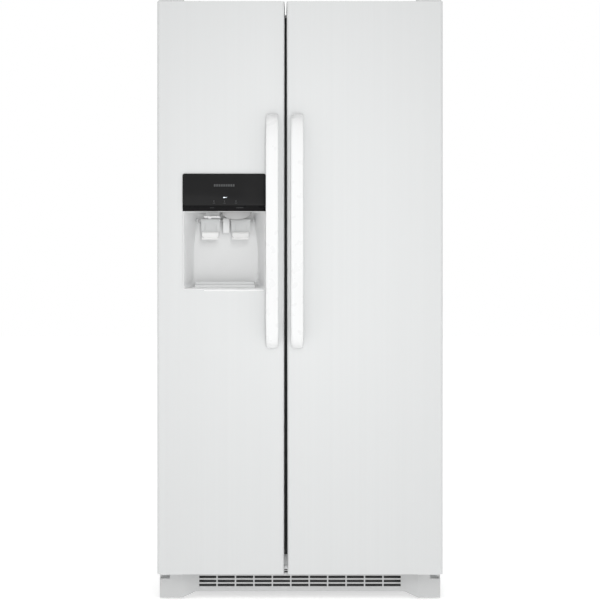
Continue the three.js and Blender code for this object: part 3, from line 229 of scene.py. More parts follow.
def about(centre, half):
    return centre - half, centre + half


def beyond(start, *steps):
    """A range between two steps from a start."""
    return tuple(sorted(start + step for step in steps))


def moved(points, u, v):
    return [(u + a, v + b) for a, b in points]


def spaced(ends, count):
    """Evenly spaced values from one end of a range to the other."""
    return [ends[0] + i * (ends[1] - ends[0]) / (count - 1) for i in range(count)]


def turns(count):
    """Equal angles round a full turn."""
    return [2 * math.pi * k / count for k in range(count)]


def oval(u, v, radius_u, radius_v, sides):
    return [(u + radius_u * math.cos(a), v + radius_v * math.sin(a)) for a in turns(sides)]


def disc(u, v, radius, sides=16):
    return oval(u, v, radius, radius, sides)


def rounded_rect(u, v, radius, steps=6):
    """Points round a rectangle with round corners, anticlockwise. radius may be four numbers."""
    radii = radius if isinstance(radius, (list, tuple)) else [radius] * 4
    corners = [(u[0], v[0], 180), (u[1], v[0], 270), (u[1], v[1], 0), (u[0], v[1], 90)]
    points = []
    for (cu, cv, start), r in zip(corners, radii):
        mu = cu + r if cu == u[0] else cu - r
        mv = cv + r if cv == v[0] else cv - r
        for i in range(steps + 1):
            a = math.radians(start + 90 * i / steps)
            points.append((mu + r * math.cos(a), mv + r * math.sin(a)))
    return points


def smooth_path(points, radius, steps=5, closed=False):
    """Rounds the corners of a polyline with arcs of about the given radius."""
    points = [Vector(p) for p in points]
    count = len(points)
    made = []
    for i, p in enumerate(points):
        if not closed and i in (0, count - 1):
            made.append(p)
            continue
        before, after = points[i - 1], points[(i + 1) % count]
        a, b = before - p, after - p
        reach = min(radius, a.length / 2, b.length / 2)
        start, end = p + a.normalized() * reach, p + b.normalized() * reach
        for k in range(steps + 1):
            t = k / steps
            made.append(start.lerp(p, t).lerp(p.lerp(end, t), t))
    return made

# ---------------------------------------------------------------- meshes

MERGE = 1e-3  # points closer than this are one
CLEAR = 10  # how far a cutter stands out of what it cuts


def sharp_edges(bm, angle=28.0):
    limit = math.radians(angle)
    return [e for e in bm.edges if e.is_manifold and e.calc_face_angle(0.0) > limit]


def bevel(bm, edges, width, segments=3):
    if edges and width > 0:
        bmesh.ops.bevel(
            bm, geom=edges, offset=width, offset_type="OFFSET", segments=segments,
            profile=0.5, affect="EDGES", clamp_overlap=True,
        )


def group(*parts):
    """All parts in one bmesh."""
    bm = bmesh.new()
    for part in parts:
        mesh = bpy.data.meshes.new("part")
        part.to_mesh(mesh)
        part.free()
        bm.from_mesh(mesh)
        bpy.data.meshes.remove(mesh)
    return bm


def block(x, y, z, radius=0.0, segments=3):
    """A box with rounded edges."""
    bm = bmesh.new()
    size = Matrix.Diagonal((x[1] - x[0], y[1] - y[0], z[1] - z[0], 1.0))
    place = Matrix.Translation((middle(x), middle(y), middle(z)))
    bmesh.ops.create_cube(bm, size=1.0, matrix=place @ size)
    bevel(bm, bm.edges[:], radius, segments)
    return bm


def prism(outline, axis, low, high, radius=0.0, segments=3, angle=28.0, only=None):
    """A flat outline pushed along an axis. Its own two coordinates are the other two axes in order."""
    order = {"x": (2, 0, 1), "y": (0, 2, 1), "z": (0, 1, 2)}[axis]
    bm = bmesh.new()

    def place(point, depth):
        uvw = (*point, depth)
        return tuple(uvw[i] for i in order)

    ends = [[bm.verts.new(place(p, d)) for p in outline] for d in (low, high)]
    bm.faces.new(ends[0])
    bm.faces.new(reversed(ends[1]))
    count = len(outline)
    for i in range(count):
        j = (i + 1) % count
        bm.faces.new((ends[0][i], ends[1][i], ends[1][j], ends[0][j]))
    bmesh.ops.recalc_face_normals(bm, faces=bm.faces)
    edges = [e for e in sharp_edges(bm, angle) if not only or only(e)]
    bevel(bm, edges, radius, segments)
    return bm


def slab(u, v, corner, axis, ends, radius=0.0, segments=3, steps=6):
    """A plate with rounded corners."""
    return prism(rounded_rect(u, v, corner, steps), axis, *ends, radius, segments)


def loft(rings, closed=False):
    """A surface skinned over rings with equal numbers of points, with ends unless it is closed."""
    bm = bmesh.new()
    made = [[bm.verts.new(p) for p in ring] for ring in rings]
    count = len(rings[0])
    pairs = list(zip(made, made[1:]))
    if closed:
        pairs.append((made[-1], made[0]))
    for a, b in pairs:
        for i in range(count):
            j = (i + 1) % count
            bm.faces.new((a[i], a[j], b[j], b[i]))
    if not closed:
        bm.faces.new(reversed(made[0]))
        bm.faces.new(made[-1])
    bmesh.ops.recalc_face_normals(bm, faces=bm.faces)
    return bm


def tube(points, radius, sides=8, closed=False):
    """A round wire along a path."""
    points = [Vector(p) for p in points]
    count = len(points)
    rings = []
    normal = None
    for i, p in enumerate(points):
        before = points[i - 1] if (i or closed) else p
        after = points[(i + 1) % count] if (i + 1 < count or closed) else p
        along = (after - before).normalized()
        if normal is None:
            normal = Vector((0, 0, 1)) if abs(along.z) < 0.9 else Vector((1, 0, 0))
        normal = (normal - along * normal.dot(along)).normalized()
        side = along.cross(normal)
        rings.append([
            p + normal * (radius * math.cos(a)) + side * (radius * math.sin(a)) for a in turns(sides)
        ])
    return loft(rings, closed)


def revolve(profile, centre, axis="z", sides=32):
    """A profile of (radius, height) pairs, from axis to axis, turned about an axis."""
    bm = bmesh.new()
    turn = {
        "z": Matrix.Identity(4),
        "y": Matrix.Rotation(math.radians(-90), 4, "X"),
        "-y": Matrix.Rotation(math.radians(90), 4, "X"),
        "x": Matrix.Rotation(math.radians(90), 4, "Y"),
    }[axis]
    place = Matrix.Translation(centre) @ turn
    rings = []
    for r, h in profile:
        around = turns(sides) if r else [0.0]
        rings.append([bm.verts.new(place @ Vector((r * math.cos(a), r * math.sin(a), h))) for a in around])
    for a, b in zip(rings, rings[1:]):
        for i in range(sides):
            j = (i + 1) % sides
            corners = [a[i % len(a)], a[j % len(a)], b[j % len(b)], b[i % len(b)]]
            unique = list(dict.fromkeys(corners))
            if len(unique) > 2:
                bm.faces.new(unique)
    bmesh.ops.recalc_face_normals(bm, faces=bm.faces)
    return bm


def add_object(name, bm):
    """A new object in the scene that takes over the bmesh."""
    mesh = bpy.data.meshes.new(name)
    bm.to_mesh(mesh)
    bm.free()
    obj = bpy.data.objects.new(name, mesh)
    bpy.context.scene.collection.objects.link(obj)
    return obj


def piece(name, bm, body, material, replaces=None, smooth=32.0):
    """Finishes a visual piece. Edges sharper than the smooth angle stay sharp."""
    bmesh.ops.scale(bm, vec=(MM, MM, MM), verts=bm.verts)
    obj = add_object(name, bm)
    mesh = obj.data
    mesh.materials.append(MAT[material])
    mesh.polygons.foreach_set("use_smooth", [True] * len(mesh.polygons))
    mesh.set_sharp_from_angle(angle=math.radians(smooth))
    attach(obj, body)
    if replaces:
        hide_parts(replaces)


def boolean(operation, bm, *others):
    """Joins bm with, or cuts from it, each of the other closed bmeshes."""
    body = add_object("carved", bm)
    tools = [add_object("tool", other) for other in others]
    for tool in tools:
        mod = body.modifiers.new("boolean", "BOOLEAN")
        mod.operation = operation
        mod.solver = "EXACT"
        mod.object = tool
    graph = bpy.context.evaluated_depsgraph_get()
    made = bmesh.new()
    made.from_mesh(body.evaluated_get(graph).to_mesh())
    for obj in (body, *tools):
        mesh = obj.data
        bpy.data.objects.remove(obj)
        bpy.data.meshes.remove(mesh)
    bmesh.ops.remove_doubles(made, verts=made.verts, dist=MERGE)
    return made


def carve(bm, *cutters):
    return boolean("DIFFERENCE", bm, *cutters)


def dress(node, material, width=0.0, segments=2):
    """A CAD node that stays gets a material, and edges rounded by modifiers."""
    obj = NODES[node]
    obj.data.materials.clear()
    obj.data.materials.append(MAT[material])
    if width:
        merge = obj.modifiers.new("weld", "WELD")
        merge.merge_threshold = 1e-5
        planar = obj.modifiers.new("planar", "DECIMATE")
        planar.decimate_type = "DISSOLVE"
        planar.angle_limit = math.radians(0.5)
        edge = obj.modifiers.new("edge", "BEVEL")
        edge.width = width * MM
        edge.segments = segments
        edge.limit_method = "ANGLE"
        edge.angle_limit = math.radians(30)
        edge.harden_normals = True

# ---------------------------------------------------------------- camera, floor and light, in metres

FRONT = span("freezer_door_skin")[1][0]
CAMERA_DISTANCE = 4.2
CAMERA_HEIGHT = 0.887
FRAME_HEIGHT = 1.758  # what the picture spans at the doors' front
FLOOR_REACH = 30.0
FLOOR_LEVEL = -0.0004  # just under the feet
WHITE = (1.0, 1.0, 1.0)

scene = bpy.context.scene
camera_data = bpy.data.cameras.new("camera")
camera_data.sensor_width = 36.0
camera_data.lens = 36.0 * CAMERA_DISTANCE / FRAME_HEIGHT
camera_data.clip_end = 120.0
camera = bpy.data.objects.new("camera", camera_data)
camera.location = (0.0, FRONT * MM - CAMERA_DISTANCE, CAMERA_HEIGHT)
camera.rotation_euler = (math.radians(90), 0.0, 0.0)
scene.collection.objects.link(camera)
scene.camera = camera

world = bpy.data.worlds.new("studio")
world.use_nodes = True
world.node_tree.nodes["Background"].inputs["Color"].default_value = (*WHITE, 1.0)
world.node_tree.nodes["Background"].inputs["Strength"].default_value = 0.63
scene.world = world
scene.view_settings.view_transform = "Standard"
scene.view_settings.look = "None"

ground = bmesh.new()
corners = ((-1, -1), (1, -1), (1, 1), (-1, 1))
ground.faces.new([ground.verts.new((u * FLOOR_REACH, v * FLOOR_REACH, FLOOR_LEVEL)) for u, v in corners])
floor = add_object("floor", ground)
floor.data.materials.append(layered(
    "pale_floor", (0.6, 0.6, 0.6), 0.8, ((0.8, 2), 0.01), glow=WHITE,
    Specular_IOR_Level=0.1, Emission_Strength=0.66,
))

# A white sphere that only the camera sees, so that the background stays pure white.
ball = bmesh.new()
bmesh.ops.create_uvsphere(ball, u_segments=48, v_segments=24, radius=40.0)
cyclorama = add_object("cyclorama", ball)
white = Shader(
    "cyclorama_white", (0.0, 0.0, 0.0), 1.0, WHITE, Specular_IOR_Level=0.0, Emission_Strength=1.0,
).material
white.cycles.emission_sampling = "NONE"
cyclorama.data.materials.append(white)
cyclorama.visible_diffuse = False
cyclorama.visible_glossy = False
cyclorama.visible_shadow = False


def area_light(name, location, target, size, power):
    data = bpy.data.lights.new(name, "AREA")
    data.shape = "RECTANGLE"
    data.size, data.size_y = size
    data.energy = power
    light = bpy.data.objects.new(name, data)
    light.location = location
    aim = Vector(target) - Vector(location)
    light.rotation_euler = aim.to_track_quat("-Z", "Y").to_euler()
    light.visible_camera = False
    light.visible_glossy = False
    scene.collection.objects.link(light)


area_light("front", (0.05, -5.0, 0.55), (0, 0, 0.9), (0.5, 0.9), 3)
area_light("softbox", (0.3, -4.0, 2.6), (0, 0, 0.9), (2.0, 1.2), 8)
area_light("rim", (0.5, 3.6, 3.6), (0, 0, 1.0), (3.0, 2.0), 12)
area_light("strip", (0.0, -1.45, 1.2), (0, 0, 1.2), (0.12, 1.4), 4.4)

# ---------------------------------------------------------------- doors

EDGE = 9.5  # the doors' front edge radius


def door_shell(name, node, body, side, low, high, cutters=()):
    """
    The enamelled pan of a door: round front edges, and softened top and bottom edges.
    Its free edge, on the given side, leans: it moves by low at the foot and by high at the top.
    """
    x, y, z = span(node)
    outline = rounded_rect(x, y, [EDGE, EDGE, 0.6, 0.6], 10)
    shell = prism(outline, "z", *z, 2.2, angle=40)
    if cutters:
        shell = carve(shell, *cutters)
    for v in shell.verts:
        if abs(v.co.x - x[side]) < EDGE + 1:
            v.co.x += low + (high - low) * (v.co.z - z[0]) / (z[1] - z[0])
    piece(name, shell, body, "enamel", node, 31)


panel_x, panel_y, panel_z = span("dispenser_panel")
housing_x, housing_y, housing_z = span("dispenser_housing")
opening_z = (housing_z[0] + 2.2, panel_z[1] - 3.2)
opening = block(inset(panel_x, 2.2), (FRONT - CLEAR, FRONT + 200), opening_z, 4)
door_shell("freezer_door_panel", "freezer_door_skin", "freezer_door", 1, -0.6, 0.8, [opening])
door_shell("fresh_door_panel", "fresh_door_skin", "fresh_food_door", 0, 1.2, -1.4)


def catmull_rom(pairs, steps=3):
    """A smooth line through pairs of numbers."""
    start = tuple(2 * a - b for a, b in zip(pairs[0], pairs[1]))
    end = tuple(2 * a - b for a, b in zip(pairs[-1], pairs[-2]))
    line = [start, *pairs, end]

    def between(a, b, c, d, t):
        square, cube = 2 * a - 5 * b + 4 * c - d, 3 * b - a - 3 * c + d
        return b + 0.5 * ((c - a) * t + square * t ** 2 + cube * t ** 3)

    made = []
    for four in zip(line, line[1:], line[2:], line[3:]):
        made += [tuple(between(*values, k / steps) for values in zip(*four)) for k in range(steps)]
    return [*made, pairs[-1]]


# a handle's faces near its end: distance from the end, and distance from the door
OUTER_FACE = catmull_rom(
    [(0, 0), (0.5, 7), (2.4, 15), (8, 26), (19, 37), (38, 46), (70, 53), (120, 57), (190, 58), (290, 58)]
)
INNER_FACE = catmull_rom(
    [(33, 0), (34.5, 5), (38, 11), (45, 19), (57, 28), (74, 35), (102, 40), (150, 43), (215, 44), (290, 44)]
)
HANDLE_REACH = 58  # the distance from the door at the middle of the outer face
HANDLE_SECTION = rounded_rect((-1, 1), (-1, 1), [0.42, 0.42, 0.3, 0.3], 5)


def handle(name, node, body):
    """A bowed bar: the outer and inner faces follow separate curves that meet the door at both ends."""
    x, y, z = span(node)
    half_width, half = middle((-x[0], x[1])), middle((-z[0], z[1]))
    scale = (y[1] - y[0]) / HANDLE_REACH
    width = half_width - 0.6

    def ring(outer, inner, sign):
        """The section between two face points; sign picks the upper or the lower half of the bar."""
        front, back = (
            Vector((y[1] - out * scale, sign * (half - along) + middle(z))) for along, out in (outer, inner)
        )
        centre, across = (front + back) / 2, (front - back) / 2
        round_off = 2.2 * across.length * min(1.0, across.length / half_width)
        points = []
        for u, v in HANDLE_SECTION:
            aside = math.copysign(width - (1 - abs(u)) * round_off, u)
            points.append((middle(x) + aside, *(centre - across * v)))
        return points

    upper, lower = ([ring(o, i, sign) for o, i in zip(OUTER_FACE, INNER_FACE)] for sign in (1, -1))
    piece(name, loft(upper + lower[-2::-1]), body, "handle", node, 50)


handle("freezer_pull_handle", "freezer_door_handle", "freezer_door")
handle("fresh_pull_handle", "fresh_door_handle", "fresh_food_door")

LIP_RUN = 14  # how far the lips over the door gap run past the gasket's corners
LIP_REACH = 7.2
GASKET_WIDTH = 16
# across the section: 0 is the ring's outer edge, 1 its inner edge; then the depth from the door
BELLOWS = [
    (0.02, 0.0), (0.0, 0.12), (0.12, 0.22), (0.02, 0.34), (0.14, 0.46), (0.02, 0.58), (-0.06, 0.7),
    (-0.08, 0.9), (0.0, 1.0), (0.5, 0.985), (1.0, 1.0), (1.04, 0.85), (0.96, 0.7), (1.0, 0.58),
    (0.88, 0.46), (1.0, 0.34), (0.88, 0.22), (1.0, 0.1), (0.98, 0.0),
]


def gasket(name, node, body, free_side):
    """A bellows ring with mitred corners. free_side is the sign of x at the edge away from the hinge."""
    x, y, z = span(node)
    rings = []
    for at_x, at_z in ((0, 0), (1, 0), (1, 1), (0, 1)):
        ring = []
        for u, v in BELLOWS:
            step = u * GASKET_WIDTH
            ring.append((inset(x, step)[at_x], y[0] + v * (y[1] - y[0]), inset(z, step)[at_z]))
        rings.append(ring)
    reach = beyond(x[1] if free_side > 0 else x[0], -free_side * 2, free_side * LIP_REACH)
    lips = [
        block(reach, ends, inset(z, -LIP_RUN), radius)
        for ends, radius in ((beyond(y[0], 1, 4.2), 1.2), (beyond(y[1], -3.6, -0.8), 1.1))
    ]
    piece(name, group(loft(rings, True), *lips), body, "rubber", node, 40)


gasket("freezer_bellows_gasket", "freezer_door_gasket", "freezer_door", 1)
gasket("fresh_bellows_gasket", "fresh_door_gasket", "fresh_food_door", -1)

# ---------------------------------------------------------------- dispenser

BOTTOM = housing_z[0]
SILL = panel_z[0] - 2.8  # the panel stands on the recess's top wall
RECESS_BACK = housing_y[1] - 2.5
DEEP = RECESS_BACK - FRONT
WAIST = 1045  # below this the recess's sides lean in less
SHOULDER = 9  # the recess's front edge steps back this far under the panel
CANOPY = 1130  # the underside of the moulding above the paddles


def recess_ring(depth, side, low, radius, top=0.0, pinch=0.0, grow=0.0):
    """A ring round the recess at a depth behind the doors' front, pinched in above the waist."""
    upper = SILL - top + grow
    corners = [radius, radius, radius * 0.35, radius * 0.35]
    points = rounded_rect(inset(housing_x, side - grow), (BOTTOM + low - grow, upper), corners)
    half = len(points) // 2
    heights = [WAIST - 12, WAIST + 10, WAIST + 45, upper - SHOULDER]
    right = [(points[half][0], h) for h in heights]
    left = [(points[0][0], h) for h in reversed(heights)]
    ring = []
    for px, pz in [*points[:half], *right, *points[half:], *left]:
        share = max(0.0, pz - WAIST) / (SILL - WAIST)
        back = depth if pz <= upper - SHOULDER else max(depth, 1.2)
        ring.append((px - math.copysign(pinch * share, px - middle(housing_x)), FRONT + back, pz))
    return ring


# recess_ring's arguments: forwards along the wall's inside, round its front edge and back along its outside
recess_walls = [
    (DEEP, 30, 23, 16, 4, 14), (DEEP * 0.95, 23, 15.5, 15, 1, 13.3), (DEEP * 0.84, 19.5, 12.8, 14, 0, 12),
    (DEEP * 0.62, 15.5, 10.6, 12, 0, 8.7), (DEEP * 0.3, 10, 7.7, 9, 0, 4.2), (2, 5, 5, 6),
    (-1.6, 3.4, 3.4, 5, -0.2), (-3, 2.2, 2.2, 5, -0.5), (-2.2, 0.2, 0.2, 3, -1.2), (-0.4, 0.2, 0.2, 3, -1.6),
    (1, 3.1, 3.1, 6, -1.6), (DEEP * 0.6, 12, 6.6, 9, -1.6, 8.4), (DEEP + 2.2, 28, 21, 16, -1, 14),
]
chute_x, _, chute_z = span("ice_chute")
ICE_X = middle(chute_x)
SPOUT_Y = FRONT + 46
spout_hole = prism(oval(ICE_X, SPOUT_Y, 45.4, 22, 40), "z", *about(SILL, 30))
recess_tub = carve(loft([recess_ring(*row) for row in recess_walls]), spout_hole)

pad_x, _, pad_z = span("ice_paddle")
ICE_PAD = middle(pad_x)
WATER_PAD = middle(span("water_paddle")[0])
PIVOT_Y, PIVOT_Z = -303, pad_z[1] - 3
ROD_HALF = (pad_x[1] - pad_x[0]) / 2
tray_x, tray_y, tray_z = span("drip_tray")
ledge_y, ledge_z = tray_y[0] - 1, tray_z[0] - 0.3
ledge = [(ledge_y, ledge_z), (ledge_y, BOTTOM + 7.2), (RECESS_BACK, BOTTOM + 13.4), (RECESS_BACK, ledge_z)]
to_back = RECESS_BACK + 1
nozzle = [(0, 0), (3.4, 0), (5, 1.2), (5.4, 3), (8, 5), (0, 5)]
fittings = [
    block(beyond(ICE_PAD, -52.5, -32.5), (PIVOT_Y - 6, to_back), beyond(CANOPY, -44, 1.5), 2.6, 4),
    block(beyond(WATER_PAD, -16.5, 31), (FRONT + 8, to_back), (CANOPY, CANOPY + 3), 1),
    block(beyond(WATER_PAD, -14, 28), (FRONT + 52, to_back), (CANOPY + 2, SILL + 1), 2),
    revolve(nozzle, (WATER_PAD, FRONT + 24, CANOPY - 3.5), "z", 24),
    prism(ledge, "x", *inset(tray_x, -1), 0.9),
]
piece("dispenser_recess", group(recess_tub, *fittings), "freezer_door", "housing",
      "dispenser_housing", 35)
ears = [
    block(ear, (PIVOT_Y - 1, to_back), beyond(CANOPY, -11, -1), 1.4)
    for ear in (beyond(WATER_PAD - ROD_HALF, -4, 2), beyond(ICE_PAD + ROD_HALF, -2, 3))
]
piece("dispenser_rod_ears", group(*ears), "freezer_door", "paddle", smooth=50)
# A bead under the recess's lower edge in the faintly glowing pad plastic: its bright line is partly real
# light on the bead and partly a painted glow
bead = block((-281, -106), beyond(FRONT, -1.6, 2), (913.5, 916.3), 1.2)
piece("dispenser_bead", bead, "freezer_door", "pad", smooth=50)

# control panel: a glossy face over a slightly inclined lower band
BAND_TOP = SILL + 16.5
panel_front = panel_y[0]
face = slab(panel_x, (BAND_TOP, panel_z[1]), [9, 9, 6.5, 6.5], "y", (panel_front, FRONT - 0.3), 0.7, steps=8)
back_box = block(inset(panel_x, 5), (FRONT - 1, panel_y[1]), (SILL + 2, panel_z[1] - 5), 1)
piece("dispenser_control_face", group(face, back_box), "freezer_door", "panel",
      "dispenser_panel")
band = prism([
    (panel_front + 1.1, BAND_TOP + 12), (FRONT + 3, BAND_TOP + 12), (FRONT + 5, SILL + 0.2),
    (panel_front + 2.9, SILL + 0.2), (panel_front + 0.5, BAND_TOP - 0.3), (panel_front + 1.1, BAND_TOP + 0.2),
], "x", *inset(panel_x, 0.2), 0.2, 2)
piece("dispenser_lower_band", band, "freezer_door", "panel_band")


# generic pictograms and a small triangular lamp on the control face
def flat_marks(name, shapes, material, y):
    marks = [prism(shape, "y", *about(y, 0.25)) for shape in shapes]
    piece(name, group(*marks), "freezer_door", material)


def stroke(u, v, width, height):
    (left, right), (low, high) = about(u, width / 2), about(v, height / 2)
    return [(left, low), (right, low), (right, high), (left, high)]


ICONS_Z = 1174.5
icons = []
for u in (-252, -221, -187.5):
    icons += [disc(u, ICONS_Z, 1.2), stroke(u, ICONS_Z - 4, 7, 0.8), stroke(u, ICONS_Z + 3.5, 4, 0.7)]
icons += [stroke(-222 + i * 6.9, 1222.5, 5.2, 7) for i in range(-4, 5)]
flat_marks("dispenser_panel_icons", icons, "mark", panel_front - 0.05)
band_marks = [stroke(-257.5, 1157, 12, 0.9), stroke(-176, 1157, 21, 1.3)]
flat_marks("dispenser_band_marks", band_marks, "mark", panel_front + 1.3)
arrow = [(-224.3, 1185.9), (-212.8, 1187.2), (-224.3, 1188.5)]
flat_marks("dispenser_panel_lamp", [arrow], "lamp", panel_front - 0.05)

# ice chute: a sloping duct with an oval spout whose lower edge is bowed
SPOUT_DROP = SILL - chute_z[0]
SPOUT_RX, SPOUT_RY = (chute_x[1] - chute_x[0]) / 2, 21.4


def spout_ring(by, bowed=True):
    ring = []
    for px, py in oval(0, 0, SPOUT_RX - by, SPOUT_RY - by, 40):
        bow = SPOUT_DROP * math.sqrt(max(0.0, 1 - (px / SPOUT_RX) ** 2))
        ring.append((ICE_X + px, SPOUT_Y + py, SILL + 2 - bow if bowed else SILL + 4))
    return ring


spout = loft(
    [spout_ring(0, False), spout_ring(0), spout_ring(1), spout_ring(2.2), spout_ring(2.2, False)], True
)
duct = carve(
    prism([(-352, 1150), (-295, 1150), (-165, 1291), (-165, 1306), (-243, 1306)], "x", *chute_x, 1.2),
    prism([(-346.5, 1140), (-299, 1140), (-167.5, 1292.5), (-167.5, 1320), (-240.5, 1320)], "x",
          *inset(chute_x, 2.5)),
)
piece("ice_chute_duct", group(spout, duct), "freezer_door", "spout", "ice_chute", 40)

# side outlines of a paddle from its pivot: the middle line of its plate, and its foot
PADDLE_PLATE = [(-2.6, 4.2), (-3.6, 0), (-2.4, -8), (-0.6, -18), (0.2, -27), (-1.5, -35), (-6, -42),
                (-11.5, -48), (-17, -53)]
PADDLE_FOOT = [(-2.4, -33.5), (-7, -37.2), (-10.4, -42.4), (-13.4, -48), (-17, -52.4), (-20.6, -55.2),
               (-20, -57), (-15, -54.4), (-10.4, -49.4), (-6.4, -42.4), (-2.4, -37), (0, -34.4)]


def paddle(name, node, body):
    """A lever pad: a shallow dished plate under a pivot rod, with a rolled lip at its foot."""
    x = span(node)[0]
    long = x[1] - x[0]
    half = long / 2 - 11
    columns = []
    for k in range(13):
        u = k / 6 - 1
        column = []
        for side in (1, -1):
            for py, pz in PADDLE_PLATE[::side]:
                dish = (2.6 if pz < -6 else 1.2) * (1 - u * u)
                narrow = 1.08 - 0.13 * abs(pz) / 53
                corner = 4 * max(0.0, abs(u) - 0.72) / 0.28 if pz < -50 else 0.0
                aside = middle(x) + u * half * narrow
                column.append((aside, PIVOT_Y + py + dish + side * 1.15, PIVOT_Z + pz + corner))
        columns.append(column)
    plate = loft(columns)
    bevel(plate, sharp_edges(plate, 50), 0.8, 2)
    rod_outline = [(0, 0), (2.2, 0), (2.6, 0.4), (2.6, long - 0.4), (2.2, long), (0, long)]
    rod = revolve(rod_outline, (x[0], PIVOT_Y, PIVOT_Z), "x", 20)
    # The rod takes the darker spout grey so that it sinks into the shade above the paddles: painted shade
    piece(name + "_rod", rod, body, "spout", smooth=50)
    ribs = [
        block(about(middle(x) + u * half, 1.2), beyond(PIVOT_Y, -1.5, 2.6), beyond(PIVOT_Z, -30, -1), 0.7)
        for u in (-0.62, 0.62)
    ]
    rings = []
    for u in (-1, -0.97, -0.9, -0.6, 0, 0.6, 0.9, 0.97, 1):
        line = moved(PADDLE_FOOT, PIVOT_Y - 0.52 * (1 - u * u), PIVOT_Z)
        rings.append([(middle(x) + u * half * 0.9, *p) for p in line])
    # The foot takes the faintly glowing pad plastic, lighter than the plate's grey: painted light on the lip
    piece(name + "_foot", loft(rings), body, "pad", smooth=60)
    piece(name, group(plate, *ribs), body, "paddle", node, 50)


paddle("ice_push_paddle", "ice_paddle", "ice_paddle")
paddle("water_push_paddle", "water_paddle", "water_paddle")


# drip tray: a shallow dish under a grille of bars
def tray_outline(by):
    return rounded_rect(inset(tray_x, by), inset(tray_y, by), [3, 3, 8 - by, 8 - by], 5)


tray = carve(
    prism(tray_outline(0), "z", *tray_z, 1.4), prism(tray_outline(4), "z", tray_z[0] + 2.2, tray_z[1] + 5)
)
bars = []
for u in spaced(about(middle(tray_x), 79.9), 18):
    bars.append(block(about(u, 1.6), inset(tray_y, 3.6), beyond(tray_z[1], -4.4, -1.2), 0.9, 2))
for v in (tray_y[0] + 18, tray_y[0] + 38):
    bars.append(block(inset(tray_x, 3.6), about(v, 1.4), beyond(tray_z[1], -5.2, -1.8), 0.8, 2))
piece("drip_tray_grille", group(tray, *bars), "drip_tray", "paddle", "drip_tray", 40)

# ---------------------------------------------------------------- cabinet

shell_x, shell_y, shell_z = span("cabinet_shell")
skin_x, skin_y, _ = span("freezer_door_skin")
CABINET_FRONT = shell_y[0]
DOOR_BACK = span("freezer_door_gasket")[1][0] - 0.3
LINER_WALL = 2.5
SHEET, FLANGE = 1.5, 22


def arch(by, steps=6):
    """The line of the cabinet's sides and top from the left foot to the right one, stood in."""
    radius = max(7 - by, 0.8)
    angles = [math.pi / 2 * k / steps for k in range(steps + 1)]
    corner = [(radius * (1 - math.cos(a)), -by - radius * (1 - math.sin(a))) for a in angles]
    return mirrored([(by, shell_z[0] - shell_z[1]), *((by + u, v) for u, v in corner)])


def mirrored(line):
    """A line that runs in from the cabinet's left side and down from its top, and then its mirror image."""
    left = [(shell_x[0] + u, shell_z[1] + v) for u, v in line]
    return left + [(-u, v) for u, v in left[::-1]]


# the wrapper's cross-section: distance in from the cabinet's sides, and from its front
shell_depth = shell_y[1] - shell_y[0]
wrapper_edge = [
    (0, shell_depth), (0, 3), (0.4, 1.2), (1.2, 0.4), (3, 0), (FLANGE, 0), (FLANGE, SHEET),
    (SHEET + 0.6, SHEET), (SHEET, SHEET + 0.6), (SHEET, shell_depth),
]
wrapper_lines = [[(px, CABINET_FRONT + back, pz) for px, pz in arch(by)] for by, back in wrapper_edge]
wrapper = loft(list(zip(*wrapper_lines)))
piece("cabinet_wrapper", wrapper, "cabinet", "enamel", "cabinet_shell", 30)

# storage spaces, from the nodes that fill them
freezer_shelf_x, freezer_shelf_y, _ = span("freezer_shelf_upper")
fresh_shelf_x, fresh_shelf_y, _ = span("shelf_upper")
cooler_x, _, cooler_z = span("evaporator_cover")
SPACE_TOP = cooler_z[1] + 2
HUMP_TOP = cooler_z[0] - 0.3
SPACE_BOTTOM = span("crisper_cover")[2][0] - 0.3
SPACE_BACK = fresh_shelf_y[1] + 8
HUMP_FRONT = 147.5
LEDGE_START = -174
FRESH_LEDGES = (1389.7, 1059.7)  # the heights of the ledges under the glass shelves
SEAM = 0.27  # brings the flanges up against each other and the wrapper


def cavity(x, grow, mouth, radius):
    """The solid of a storage space grown on every side but the front, its edges rounded."""
    slope = (HUMP_TOP - SPACE_BOTTOM) / 4
    low, step, high = SPACE_BOTTOM - grow, HUMP_TOP - grow, SPACE_TOP + grow
    hump, back = HUMP_FRONT + grow, SPACE_BACK + grow
    outline = [(mouth, low), (hump, low), (hump + slope, step), (back, step), (back, high), (mouth, high)]
    return prism(
        outline, "x", *inset(x, -grow), radius, 5, 20,
        lambda e: not all(abs(v.co.y - mouth) < MERGE for v in e.verts),
    )


def under(node):
    """The height of the ledge that a node stands on."""
    return span(node)[2][0] - 0.3


def liner(name, node, inner, ledges):
    """A vacuum-formed tub with a rounded mouth, a front flange and moulded ledges."""
    x, _, z = span(node)
    x, z = inset(x, -SEAM), (z[0], z[1] + SEAM)
    front = block(x, (CABINET_FRONT, CABINET_FRONT + LINER_WALL), z)
    shell = boolean("UNION", front, cavity(inner, LINER_WALL, CABINET_FRONT + 1, 17))
    shell = carve(shell, cavity(inner, 0.0, CABINET_FRONT - 20, 14.5))

    def in_mouth(v):
        inside_flange = x[0] + 1 < v.co.x < x[1] - 1 and z[0] + 1 < v.co.z < z[1] - 1
        return inside_flange and abs(v.co.y - CABINET_FRONT) < 0.01

    bevel(shell, [e for e in shell.edges if all(in_mouth(v) for v in e.verts)], 4, 4)
    steps = []
    for back, top, left, right in ledges:
        for sides in (beyond(inner[0], -1.2, left), beyond(inner[1], 1.2, -right)):
            steps.append(block(sides, (LEDGE_START, back), (top - 8, top), 3))
    piece(name, group(shell, *steps), "cabinet", "liner", node, 35)


